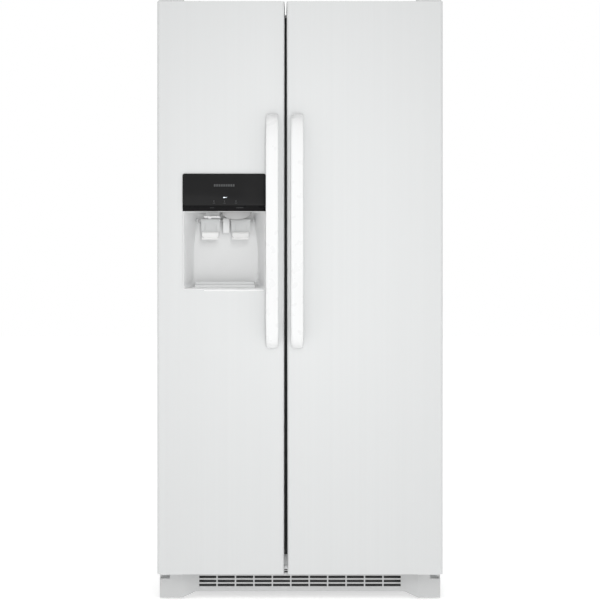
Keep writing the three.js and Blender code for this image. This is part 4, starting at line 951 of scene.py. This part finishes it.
liner("freezer_tub_liner", "freezer_liner", inset(freezer_shelf_x, -3), [
    (freezer_shelf_y[1], under("freezer_shelf_upper"), 16, 16),
    (freezer_shelf_y[1], under("freezer_shelf_lower"), 16, 16),
    (span("ice_bin")[1][1], under("ice_bin"), 20, 20),
    (freezer_shelf_y[1], under("freezer_basket"), 29, 28),
])
liner("fresh_tub_liner", "fresh_food_liner", inset(fresh_shelf_x, -3), [
    *((fresh_shelf_y[1], top, 16, 16) for top in FRESH_LEDGES),
    (fresh_shelf_y[1], under("deli_drawer"), 24, 36),
])
dress("cabinet_foam", "foam")
# The base pan is black paint; behind the toe grille it also serves as painted shade in the slots
dress("base_pan", "black", 0.4)

SILL_X = (-385, 385)
sill_rail = block(SILL_X, beyond(CABINET_FRONT, 1.5, 7.5), (76.4, 80.4), 1)
sill_lip = block(SILL_X, beyond(CABINET_FRONT, -2.2, 1), (90.5, 96.5), 1.4)
piece("front_sill_rail", group(sill_rail, sill_lip), "cabinet", "enamel")
# Black rubber strips behind the sill: painted shade for the dark gaps between the sill's members
sill_shade_strips = [
    block(SILL_X, beyond(CABINET_FRONT, 0.2, 2.2), (81, 88.4), 0.6),
    block(SILL_X, beyond(CABINET_FRONT, 4, 6), (70, 78), 0.6),
]
piece("front_sill_shade_strips", group(*sill_shade_strips), "cabinet", "rubber")

# the filler between the doors' tops steps back over them to the cabinet
GAP_X = (skin_x[1] + span("fresh_door_skin")[0][0]) / 2
FILLER_Z = (1723.5, 1760.5)
filler_front, filler_back, filler_step = FRONT + 8, skin_y[1] - 2, 1740.8
filler = prism([
    (filler_front, FILLER_Z[0]), (filler_back, FILLER_Z[0]), (filler_back, filler_step),
    (CABINET_FRONT + 1, filler_step), (CABINET_FRONT + 1, FILLER_Z[1]), (filler_front, FILLER_Z[1]),
], "x", *about(GAP_X, 2), 0.6, 2)
filler_cap = block(about(GAP_X, 2.1), beyond(FRONT, 0.5, 9), inset(FILLER_Z, -1), 1)
# It takes the bright, faintly glowing pad plastic, which paints light into the shade of the gap between the
# doors
piece("centre_top_filler", group(filler, filler_cap), "cabinet", "pad")


def screw(centre, axis="y", radius=4.0):
    """A domed hex screw head on a washer."""
    washer = [(0, 0), (radius, 0), (radius, 0.7), (radius * 0.72, 0.9), (0, 0.9)]
    head = [(0, 0.6), (radius * 0.7, 0.6), (radius * 0.7, 2.2), (radius * 0.5, 2.8), (0, 3)]
    return group(revolve(washer, centre, axis, 20), revolve(head, centre, axis, 6))


# back: an embossed sheet over the foam, and a louvred cover over the machine space
back_x, back_y, back_z = span("rear_panel")
back_parts = [block(back_x, back_y, back_z, 0.6, 2)]
fields = spaced(inset(back_x, 80), 4)
for field in zip(fields, fields[1:]):
    raised = slab(inset(field, 30), inset(back_z, 120), 24, "y", beyond(back_y[1], -0.4, 4.2), 2.6, 4)
    hollow = slab(inset(field, 50), inset(back_z, 140), 12, "y", beyond(back_y[1], 0.2, 8))
    back_parts.append(carve(raised, hollow))
spots = [(u, v) for u in spaced(inset(back_x, 20), 5) for v in (back_z[0] + 15, back_z[1] - 20)]
spots += [(u, v) for v in spaced(back_z, 7)[1:-1] for u in inset(back_x, 14)]
back_parts += [screw((u, back_y[1], v)) for u, v in spots]
piece("rear_sheet", group(*back_parts), "cabinet", "galvanised", "rear_panel", 35)

cover_x, cover_y, cover_z = span("machine_cover")
HOOD = [(-0.8, 12), (1, 11.4), (5, 2.4), (5.4, 0.4), (4.4, 0.4), (0.6, 9.4), (-0.8, 9.8)]
openings, louvres = [], []
for mid in (-250, 250):
    for low in range(100, 254, 22):
        openings.append(block(about(mid, 100), inset(cover_y, -CLEAR), (low, low + 8)))
        louvres.append(prism(moved(HOOD, cover_y[1], low), "x", *about(mid, 102), 0.3, 2))
for u in (-405, -200, 0, 200, 405):
    louvres += [screw((u, cover_y[1], v)) for v in (cover_z[0] + 14, cover_z[1] - 20)]
cover = carve(block(cover_x, cover_y, (cover_z[0], back_z[0] - 0.5), 0.5, 2), *openings)
piece("machine_louvre_cover", group(cover, *louvres), "cabinet", "galvanised",
      "machine_cover", 35)

# compressor: two drawn shells joined at a flange, on four rubber feet, with two pipes and a start box
PUMP = Vector((235, 318, 0))
PUMP_SHELL = [
    (0, 62), (30, 63), (52, 68), (68, 80), (76, 94), (80, 110), (82, 128), (82, 131), (84, 132), (84, 136),
    (80.5, 137.5), (80, 150), (77, 168), (70, 186), (57, 200), (36, 210), (16, 213.5), (0, 214),
]
PUMP_FOOT = [
    (0, 42), (8, 42), (10, 44), (10, 50), (7.5, 52), (7.5, 56), (10, 58), (10, 66), (6, 67), (6, 72), (0, 72),
]
pump_parts = [
    revolve(PUMP_SHELL, PUMP, "z", 48),
    slab(about(PUMP.x, 92), about(PUMP.y, 52), 14, "z", (65.5, 70.5), 1, 2),
    *(revolve(PUMP_FOOT, PUMP + Vector((u, v, 0)), "z", 20) for u in (-78, 78) for v in (-40, 40)),
    block(beyond(PUMP.x, -86, -50), about(PUMP.y, 30), (110, 170), 5),
]
for pipe in (
    [(20, 20, 200), (20, 20, 250), (50, -20, 250), (100, -30, 230)],
    [(-20, 20, 200), (-20, 20, 250), (-80, -20, 250), (-130, -30, 230)],
):
    pump_parts.append(tube(smooth_path([PUMP + Vector(p) for p in pipe], 15), 3.2, 10))
piece("compressor_can", group(*pump_parts), "cabinet", "black", "compressor", 40)
dress("condenser_unit", "black", 0.3)
dress("evaporator_coil", "aluminium")
dress("condenser_fan", "grey", 0.4)
dress("evaporator_fan", "grey", 0.4)

# A black sheet behind the toe grille's slots: painted shade that keeps the slots dark in front of the glowing
# floor
slot_shade_sheet = block((-310, 310), beyond(CABINET_FRONT, 26, 29), (12, 74), 1)
piece("toe_slot_shade_sheet", slot_shade_sheet, "cabinet", "black")

# toe grille: a louvred strip between two covers for the levelling legs
toe_x, toe_y, toe_z = span("toe_grille")
TOE_LOW = 18
toe_front, toe_back = toe_y
toe_face = CABINET_FRONT - 9


def both_ends(line):
    """A line that runs in from the grille's left end, and then its mirror image."""
    left = [(u - toe_x[1], v) for u, v in line]
    return left + [(-u, v) for u, v in left[::-1]]


toe_outline = both_ends([
    (111, toe_face + 3), (65, toe_front + 3), (3, toe_front + 3), (3, toe_back), (0, toe_back),
    (0, toe_front), (66, toe_front), (112, toe_face),
])
foot_arch = both_ends([(66, -CLEAR), (66, toe_z[0]), (104, TOE_LOW)])
cuts = [prism(foot_arch, "y", toe_front - CLEAR, CABINET_FRONT + CLEAR)]
for mid in inset(toe_x, 14):
    cuts.append(block(about(mid, 16), (toe_front - CLEAR, CABINET_FRONT), beyond(toe_z[1], -13, CLEAR)))
for i in range(-5, 6):
    for level in (37, 49, 61):
        cuts.append(block(about(i * 55, 25.5), beyond(toe_face, -5, 8), about(level, 3.9), 0.8, 2))
strip = carve(prism(toe_outline, "z", *toe_z, 1.2, 3, 20), *cuts)
piece("toe_louvre_grille", strip, "cabinet", "grille", "toe_grille", 30)

# ---------------------------------------------------------------- hinges and feet

# a hinge cover's rings, how far in and how high up, and the profile of the boss on it
CAP_RINGS = ((0, 0), (0, 0.45), (0.4, 0.66), (1.4, 0.84), (3.4, 0.95), (6.5, 1.0), (7.5, 1.0))
CAP_BOSS = [(0, 0), (8, 0), (8, 0.6), (6.8, 1.4), (3.6, 1.4), (3.2, 0.4), (0, 0.4)]
for side in ("left", "right"):
    dress("top_hinge_" + side, "steel", 0.5)
    dress("bottom_hinge_" + side, "enamel", 0.5)
    dress("levelling_leg_" + side, "grey", 0.6)
    dress("rear_roller_" + side, "grey", 1.2, 3)
    x, y, z = span("hinge_cover_" + side)
    rings = []
    for by, share in CAP_RINGS:
        height = z[0] + share * (z[1] - z[0])
        rings.append([(*p, height) for p in rounded_rect(inset(x, by), inset(y, by), 13 - by)])
    boss = revolve(CAP_BOSS, (middle(x), y[1] - 24, z[1] - 0.8), "z", 28)
    grooves = [block(inset(x, 10), about(y[0] + at, 1), about(z[1], 0.5), 0.4, 2) for at in (16, 22, 28)]
    piece("hinge_cap_" + side, group(loft(rings), boss, *grooves), "cabinet", "white_trim",
          "hinge_cover_" + side, 40)

# ---------------------------------------------------------------- inside the cabinet

TUB_WALL = 3
QUARTER = [math.pi / 2 * k / 4 for k in range(5)]


def smoothstep(t):
    t = min(1.0, max(0.0, t))
    return t * t * (3 - 2 * t)


def tub(x, y, z, radii, foot, rim, draft, ridges, dip=0.0):
    """An open moulded tub with a rounded foot, leaning walls and a rolled rim.

    ridges are heights, as shares, of ribs round it. dip lowers the middle of the wall at high y."""
    half = (x[1] - x[0]) / 2

    def outline(by):
        return rounded_rect(inset(x, by), inset(y, by), [max(r - by, 1) for r in radii])

    rest = outline(0)
    counts = [max(1, int(math.dist(a, b) / 22)) for a, b in zip(rest, rest[1:] + rest[:1])]

    def ring(by, height):
        share = ((height - z[0]) / (z[1] - z[0])) ** 6
        points = outline(by)
        made = []
        for a, b, count in zip(points, points[1:] + points[:1], counts):
            for k in range(count):
                px, py = (p + (q - p) * k / count for p, q in zip(a, b))
                near = smoothstep((py - (y[1] - 40)) / 30)
                inward = smoothstep((half - 18 - abs(px - middle(x))) / 36)
                made.append((px, py, height - dip * near * inward * share))
        return made

    low = draft + rim * 0.6
    under_rim = z[1] - 2.6 * rim
    outer = moved([(foot * (1 - math.sin(a)), foot * (1 - math.cos(a))) for a in QUARTER], low, z[0])
    for share in ridges:
        height = z[0] + foot + (z[1] - z[0] - foot) * share
        outer += moved([(0, -2.4), (-0.9, -1), (-0.9, 1), (0, 2.4)], low - draft * share, height)
    outer += [(rim * 0.6, under_rim), (0, under_rim + rim * 0.5), (0, z[1] - rim * 0.5), (rim * 0.3, z[1])]
    inner = [
        (rim * 0.3 + TUB_WALL * 0.7, z[1]), (rim * 0.5 + TUB_WALL, z[1] - rim * 0.5),
        (rim * 0.6 + TUB_WALL, under_rim),
    ]
    inner += moved([(foot * (1 - math.cos(a)), foot * (1 - math.sin(a))) for a in QUARTER],
                   low + TUB_WALL, z[0] + TUB_WALL)
    return loft([ring(*pair) for pair in outer + inner])


def frame_of(x, y, z, radius):
    """A flat moulded frame with rounded edges."""
    hole = slab(inset(x, 17), inset(y, 17), 8, "z", inset(z, -CLEAR), steps=5)
    made = carve(slab(x, y, 5, "z", z, steps=5), hole)
    bevel(made, sharp_edges(made, 60), radius)
    return made


def glass_pane(name, x, y, z):
    piece(name, slab(x, y, 5, "z", z, 0.5, 2, 4), "cabinet", "glass")


# the front trim of a shelf: points from its lower front corner and then from its upper one
TRIM_LOW = [(0, 3), (1.2, 0.6), (4, 0), (9, 1), (11, 8)]
TRIM_HIGH = [(16, -5), (16, -2), (10, -0.4), (5, 0), (1.4, -1.4), (0, -5)]
for name in ("shelf_upper", "shelf_middle"):
    x, y, z = span(name)
    top = z[1] - 2
    rim = frame_of(x, (y[0] + 6, y[1]), (top - 12, top), 1.6)
    trim = prism(moved(TRIM_LOW, y[0], z[0]) + moved(TRIM_HIGH, y[0], z[1]), "x", *inset(x, 1), 0.5, 2)
    piece(name + "_frame", group(rim, trim), "cabinet", "white_trim", name, 45)
    glass_pane(name + "_glass", inset(x, 14), (y[0] + 15, y[1] - 14), (top - 7, top - 3))

x, y, z = span("crisper_cover")
crisper_x, _, crisper_z = span("crisper_upper")
cover_parts = [
    frame_of(x, y, (z[1] - 12, z[1]), 1.8),
    block(inset(x, 1), beyond(y[0], -1, 12), beyond(z[1], -14, 0.6), 3),
]
for wall, inner, inward in ((x[0], crisper_x[0] - 1.5, 22), (x[1], crisper_x[1] + 1.5, -22)):
    sides = sorted((wall, inner))
    rail = sorted((wall, inner + inward))
    cover_parts += [
        block(sides, (y[0] + 24, HUMP_FRONT - 13), (z[0], z[1] - 6), 2),
        block(sides, (y[0] + 24, y[1] - 4), (HUMP_TOP + 0.6, z[1] - 6), 2),
        block(rail, (y[0] + 24, y[1] - 4), beyond(crisper_z[0], -8, -0.3), 2),
    ]
piece("crisper_frame", group(*cover_parts), "cabinet", "white_trim", "crisper_cover", 45)
glass_pane("crisper_glass", inset(x, 14), inset(y, 14), beyond(z[1], -7, -3))

# a drawer's pull lip, from the upper edge of its front
PULL_LIP = [(4, -0.6), (-4, -0.4), (-9, -2.4), (-12.6, -7), (-13.8, -13), (-12.2, -16.4), (-9.8, -16),
            (-9.2, -11.6), (-6, -7), (-1, -5), (4, -4.6)]


def drawer(name, node):
    """A clear drawer: tub, framed front and a pull lip under its top edge."""
    x, y, z = span(node)
    front = y[0] + 14
    body = tub(inset(x, 4), (front + 6, y[1]), (z[0], z[1] - 12), (12,) * 4, 14, 2.4, 1.5, (0.82,))
    piece(name + "_tub", body, node, "clear", node, 45)
    face = carve(
        slab(x, z, [12, 12, 5, 5], "y", beyond(front, 2, 8.5), 1.6),
        slab(inset(x, 14), (z[0] + 14, z[1] - 30), 8, "y", beyond(front, -CLEAR, 4.2), 1, 2),
    )
    lip = prism(moved(PULL_LIP, front, z[1]), "x", *inset(x, 34), 0.8, 2)
    piece(name + "_front", face, node, "frost", smooth=45)
    piece(name + "_pull", lip, node, "white_trim", smooth=45)
    slide = group(
        block(about(middle(x), 50), beyond(front, 0.6, 3), about(z[1] - 24, 3.5), 1.2),
        block(beyond(middle(x), -26, -12), beyond(front, -1.4, 2), about(z[1] - 24, 3), 1.2),
    )
    piece(name + "_slider", slide, node, "grey", smooth=40)


for name in ("deli_drawer", "crisper_upper", "crisper_lower"):
    drawer(name + "_moulded", name)


# wire shelves and the wire basket
def wire_ring(x, y, level, corner, radius, sides):
    points = [(x[0], y[0], level), (x[1], y[0], level), (x[1], y[1], level), (x[0], y[1], level)]
    return tube(smooth_path(points, corner, 6, True), radius, sides, True)


WIRE = 1.9
SHELF_RIM = 3.6
BASKET_RIM = 2.9
for name in ("freezer_shelf_upper", "freezer_shelf_lower"):
    x, y, z = span(name)
    level = z[0] + SHELF_RIM + 0.2
    top = level + SHELF_RIM
    wires = [wire_ring(inset(x, SHELF_RIM), inset(y, SHELF_RIM), level, 16, SHELF_RIM, 12)]
    side_view = [(y[0] + 1.6, z[0] + 1.5), (y[0] + 1.7, top), (y[0] + 8, top + 1), (y[1] - 3, top + 1)]
    for u in spaced(inset(x, 20), 15):
        wires.append(tube(smooth_path([(u, *p) for p in side_view], 5, 3), WIRE * 0.9))
    for at in (0.3, 0.7):
        wires.append(tube([(u, y[0] + at * (y[1] - y[0]), level) for u in inset(x, 2)], 2.4, 10))
    piece(name + "_wires", group(*wires), "cabinet", "wire", name, 60)

x, y, (bottom, top) = (inset(ends, BASKET_RIM) for ends in span("freezer_basket"))
wires = [
    wire_ring(inset(x, by), inset(y, by), level, 18, radius, 10)
    for level, by, radius in ((top, 0, BASKET_RIM), (middle((bottom, top)), 2.5, 2.2), (bottom + 4, 5, 2.2))
]
for u in spaced(inset(x, 18), 11):
    path = [(u, y[0], top), (u, y[0] + 4, bottom), (u, y[1] - 4, bottom), (u, y[1], top)]
    wires.append(tube(smooth_path(path, 14, 4), WIRE))
for v in spaced(inset(y, 18), 12):
    path = [(x[0], v, top), (x[0] + 4, v, bottom + 2), (x[1] - 4, v, bottom + 2), (x[1], v, top)]
    wires.append(tube(smooth_path(path, 14, 4), WIRE))
piece("freezer_basket_wires", group(*wires), "freezer_basket", "wire", "freezer_basket", 60)

# ice maker: a gear box, a hood over the mould, and the mould with its stop arm
x, y, z = span("ice_maker")
maker_parts = [
    block(x, (y[0], y[0] + 44), (1580, z[1]), 5),
    prism(disc(middle(x) + 52, 1626, 26, 40), "y", *beyond(y[0], -1.2, 1), 0.5, 2),
    block(beyond(x[0], 22, 100), beyond(y[0], -0.8, 1), (1655, 1667), 0.5),
    carve(
        block((-330, -108), (-20, 210), (1602, z[1]), 6), block((-320, -100), (-19, 200), (1598, 1680), 4)
    ),
]
ice_cells = [slab((-316, -162), about(i * 31, 12), 4, "z", (1576, 1610), steps=4) for i in range(7)]
MOULD_TOP = 1604
mould = carve(block((-328, -150), (-21, 210), (z[0], MOULD_TOP), 5), *ice_cells)
stop_arm = [(-112, v, level) for v, level in ((-20, 1612), (-20, 1575), (190, 1575), (190, 1612))]
arm = tube(smooth_path(stop_arm, 12), 2, 10)
piece("ice_maker_body", group(*maker_parts), "cabinet", "white_trim", "ice_maker", 40)
piece("ice_maker_mould", group(mould, arm), "cabinet", "aluminium", smooth=40)

# ice bucket and auger
x, y, z = span("ice_bin")
auger_x, auger_y, auger_z = span("ice_auger")
axis_x, axis_z = middle(auger_x), middle(auger_z)
bucket = carve(
    tub(x, y, z, (12,) * 4, 24, 3, 3, (0.55,)),
    block((-228, -148), beyond(y[0], 12, 74), beyond(z[0], -10, 20), 4),
    prism(disc(axis_x, axis_z, 7, 24), "y", *beyond(y[1], -30, 10)),
)
piece("ice_bucket", bucket, "cabinet", "frost", "ice_bin", 45)
front_plate = carve(
    slab(inset(x, 1), (z[0] + 6, z[1] - 4), 18, "y", beyond(y[0], -0.6, 4), 1.6, steps=8),
    slab(inset(x, 80), beyond(z[1], -60, -30), 12, "y", beyond(y[0], -CLEAR, 20)),
)
piece("ice_bucket_front", front_plate, "cabinet", "white_trim", smooth=40)
FLIGHT = [(5, -2.4), (17, -1.8), (30, -1.2), (31.6, -0.5), (31.6, 0.5), (30, 1.2), (17, 1.8), (5, 2.4)]
FLIGHT_TURNS, FLIGHT_STEPS = 4, 28
flights = []
for i, along in enumerate(spaced(inset(auger_y, 15), FLIGHT_TURNS * FLIGHT_STEPS + 1)):
    a = 2 * math.pi * i / FLIGHT_STEPS
    flights.append([(axis_x + r * math.cos(a), along + d, axis_z + r * math.sin(a)) for r, d in FLIGHT])
long = auger_y[1] - auger_y[0]
rod_outline = [(0, 0), (5, 0), (6, 1), (6, long - 1), (5, long), (0, long)]
rod = revolve(rod_outline, (axis_x, auger_y[0], axis_z), "y", 24)
piece("ice_auger_screw", group(loft(flights), rod), "ice_auger", "aluminium",
      "ice_auger", 50)

# the freezer's back wall, with the fan's grille and the motor behind it
fan_x, _, fan_z = span("evaporator_fan")
fan_u, fan_v = middle(fan_x), middle(fan_z)
wall_y = beyond(freezer_shelf_y[1], 6, 9)
wall_face = wall_y[0]
holes = []
for i in range(-3, 4):
    holes.append((about(fan_u, math.sqrt(64 ** 2 - (i * 18) ** 2)), about(fan_v + i * 18, 5), 4.6))
for i in range(6):
    holes.append((about(fan_u - 110 + i * 44, 16), (370, 384), 6))
wall = carve(
    slab(cooler_x, cooler_z, 10, "y", wall_y, 0.8, 2, 5),
    *(slab(*hole, "y", inset(wall_y, -CLEAR), steps=4) for hole in holes),
)
FAN_RING = ((76, 0.5), (75, -2.4), (72, -3.2), (69, -2.4), (68, 0.5))
wall_parts = [
    revolve([(0, 0), (13, 0), (15, 2), (15, 10), (13, 12), (3, 12), (3, 26), (0, 26)],
            (fan_u, wall_y[1] - 3, fan_v), "y", 28),
    loft([
        [(fan_u + r * math.cos(a), wall_face + d, fan_v + r * math.sin(a)) for r, d in FAN_RING]
        for a in turns(48)
    ], True),
]
for at in (-80, 80):
    for ends in ((420, 820), (1200, 1620)):
        wall_parts.append(block(about(fan_u + at, 9), beyond(wall_face, -2.4, 1), ends, 2.2))
wall_parts += [screw((u, wall_face, v), "-y", 3.4) for u in inset(cooler_x, 14) for v in (400, 1040, 1660)]
piece("freezer_back_wall", group(wall, *wall_parts), "cabinet", "liner",
      "evaporator_cover", 40)

# controls under the fresh food ceiling
x, y, z = span("control_housing")
lamp_x = inset(x, 40)
fascia = prism([
    (y[0], z[0] + 8), (y[0] + 2, z[0] + 3), (y[0] + 8, z[0]), (y[1] - 20, z[0]), (y[1] - 8, z[0] + 8),
    (y[1], z[0] + 30), (y[1], z[1]), (y[0], z[1]),
], "x", *x, 2.4, 3, 20)
fascia = carve(fascia, block(lamp_x, beyond(y[0], 30, 152), beyond(z[0], -CLEAR, 4), 2))
KNOBS = {name: span(name) for name in ("freezer_control_knob", "fresh_food_control_knob")}
TICK_START = 20.6
ticks = []
for knob_x, _, knob_z in KNOBS.values():
    for i in range(9):
        length = 1.6 + 0.22 * i
        tick = block((-0.6, 0.6), beyond(y[0], -0.35, 1), (TICK_START, TICK_START + length), 0.2, 1)
        turn = Matrix.Rotation(math.radians((4 - i) * 27), 4, "Y")
        place = Matrix.Translation((middle(knob_x), 0, middle(knob_z)))
        bmesh.ops.transform(tick, matrix=place @ turn, verts=tick.verts)
        ticks.append(tick)
piece("control_fascia", fascia, "cabinet", "white_trim", "control_housing", 35)
piece("control_dial_ticks", group(*ticks), "cabinet", "mark", smooth=30)
lens = block(inset(lamp_x, 1), beyond(y[0], 31, 151), beyond(z[0], 0.4, 3), 1)
grooves = [block(inset(lamp_x, -1), about(y[0] + 40 + 12 * i, 1), beyond(z[0], -1, 1.4)) for i in range(9)]
piece("control_lamp_lens", carve(lens, *grooves), "cabinet", "diffuser", smooth=30)

# a knob's rings from the back round the rim to the front: share of its radius, and depth
KNOB_RINGS = ((0.5, 14.6), (0.96, 15), (1.0, 13.6), (1.0, 11), (0.95, 10), (0.93, 3), (0.9, 1.2),
              (0.82, 0.2), (0.7, 0.6), (0.66, 1.4), (0.3, 1.4))
for name, (knob_x, knob_y, knob_z) in KNOBS.items():
    u, v = middle(knob_x), middle(knob_z)
    radius = (knob_x[1] - knob_x[0]) / 2
    base = knob_y[0] + 6
    rings = []
    for share, depth in KNOB_RINGS:
        teeth = 0.02 if 2 < depth < 10.5 else 0.0
        ring = [(a, radius * (share + teeth * math.cos(24 * a))) for a in turns(96)]
        rings.append([(u + r * math.cos(a), base + depth, v + r * math.sin(a)) for a, r in ring])
    grip = block(about(u, 3.5), (knob_y[0], base + 4), about(v, radius * 0.84), 2.2)
    shaft = prism(disc(u, v, 4, 24), "y", base + 12, knob_y[1], 0.4, 2)
    piece(name + "_cap", group(loft(rings), grip, shaft), name, "white_gloss", name, 40)
    pointer_z = beyond(v, radius * 0.3, radius * 0.74)
    pointer = block(about(u, 0.9), beyond(knob_y[0], -0.15, 1), pointer_z, 0.2, 1)
    piece(name + "_pointer", pointer, name, "mark", smooth=30)

# ---------------------------------------------------------------- inside of the doors

FRAME_DEPTH = 42
FRAME_WALL = 16
FRAME_Z = (SPACE_BOTTOM + 11.5, SPACE_TOP - 13.5)
FRAME_PROFILE = [(0, -1), (0.6, 8), (1.6, 30), (2.6, 37), (4.6, 40.8), (7, FRAME_DEPTH), (10.5, FRAME_DEPTH),
                 (13, 40.8), (14.6, 37), (15.2, 30), (FRAME_WALL, 8), (FRAME_WALL, -1)]


def frame_span(door_bin):
    """The width of the moulded ring that a door bin hangs in."""
    return inset(span(door_bin)[0], -FRAME_WALL - 0.3)


def raised_frame(x):
    """The moulded ring that stands in the cavity's mouth and holds the bins."""
    rings = []
    for by, depth in FRAME_PROFILE:
        points = rounded_rect(inset(x, by), inset(FRAME_Z, by), 20 - by * 0.7)
        rings.append([(px, DOOR_BACK + depth, pz) for px, pz in points])
    return loft(list(zip(*rings)), True)


def door_sheet(skin):
    """The inner sheet's flat border, clipped over the edge of the enamelled pan."""
    x, y, z = span(skin)
    return slab(inset(x, 0.2), inset(z, 0.2), 3, "y", (y[1] + 0.3, DOOR_BACK), 2.6, steps=4)


def recess_cutter():
    steps = ((-8, 5, 5, 0), (2, 5, 5, 0), (DEEP * 0.62, 15.5, 10.6, 8.7), (DEEP + 3, 23, 14, 14))
    return loft([recess_ring(depth, side, low, 6, 0, pinch, 3.2) for depth, side, low, pinch in steps])


def duct_cutter():
    grown = [(-352.5, 1149.5), (-294.5, 1149.5), (-164.5, 1290.5), (-164.5, 1330), (-243.5, 1330)]
    return prism(grown, "x", *inset(chute_x, -0.3))


freezer_frame = frame_span("freezer_bin_upper")
bulge = block(inset(freezer_frame, 1), beyond(DOOR_BACK, -6, FRAME_DEPTH - 0.5), (885, 1290), 14, 5)
sheets = [carve(part, recess_cutter(), duct_cutter()) for part in (door_sheet("freezer_door_skin"), bulge)]
inner_door = group(*sheets, raised_frame(freezer_frame))
piece("freezer_inner_door", inner_door, "freezer_door", "liner", "freezer_door_liner", 40)
inner_door = group(door_sheet("fresh_door_skin"), raised_frame(frame_span("fresh_bin_middle")))
piece("fresh_inner_door", inner_door, "fresh_food_door", "liner", "fresh_door_liner", 40)

for name, body, dip in (
    ("freezer_bin_upper", "freezer_door", 13), ("freezer_bin_middle", "freezer_door", 13),
    ("freezer_bin_lower", "freezer_door", 13), ("fresh_bin_middle", "fresh_food_door", 13),
    ("fresh_bin_lower", "fresh_food_door", 13), ("dairy_bin", "fresh_food_door", 6),
):
    bin_shape = tub(*span(name), (3, 3, 18, 18), 8, 2.8, 2, (0.3, 0.5, 0.7), dip)
    piece(name + "_tub", bin_shape, body, "clear", name, 45)

# the dairy lid: a curved plate on a rod, from its rear lower and rear upper corners
x, y, z = span("dairy_lid")
pin_y = y[0] + 4
rod = tube([(u, pin_y, z[0] + 4) for u in x], 3.8, 16)
plate = [(pin_y, z[0] + 2.2)]
plate += moved([(-14, 2.4), (-6, 2.2), (-1.4, 3.4), (-0.2, 6)], y[1], z[0])
plate += moved([(-0.4, -0.4), (-2.4, -0.6)], y[1], z[1])
plate += moved([(-3.2, 6.4), (-8, 5), (-14, 4.8)], y[1], z[0])
plate.append((pin_y, z[0] + 5))
lid = group(rod, prism(plate, "x", *inset(x, 2), 0.6, 2, 40))
piece("dairy_lid_cover", lid, "dairy_lid", "clear", "dairy_lid", 40)
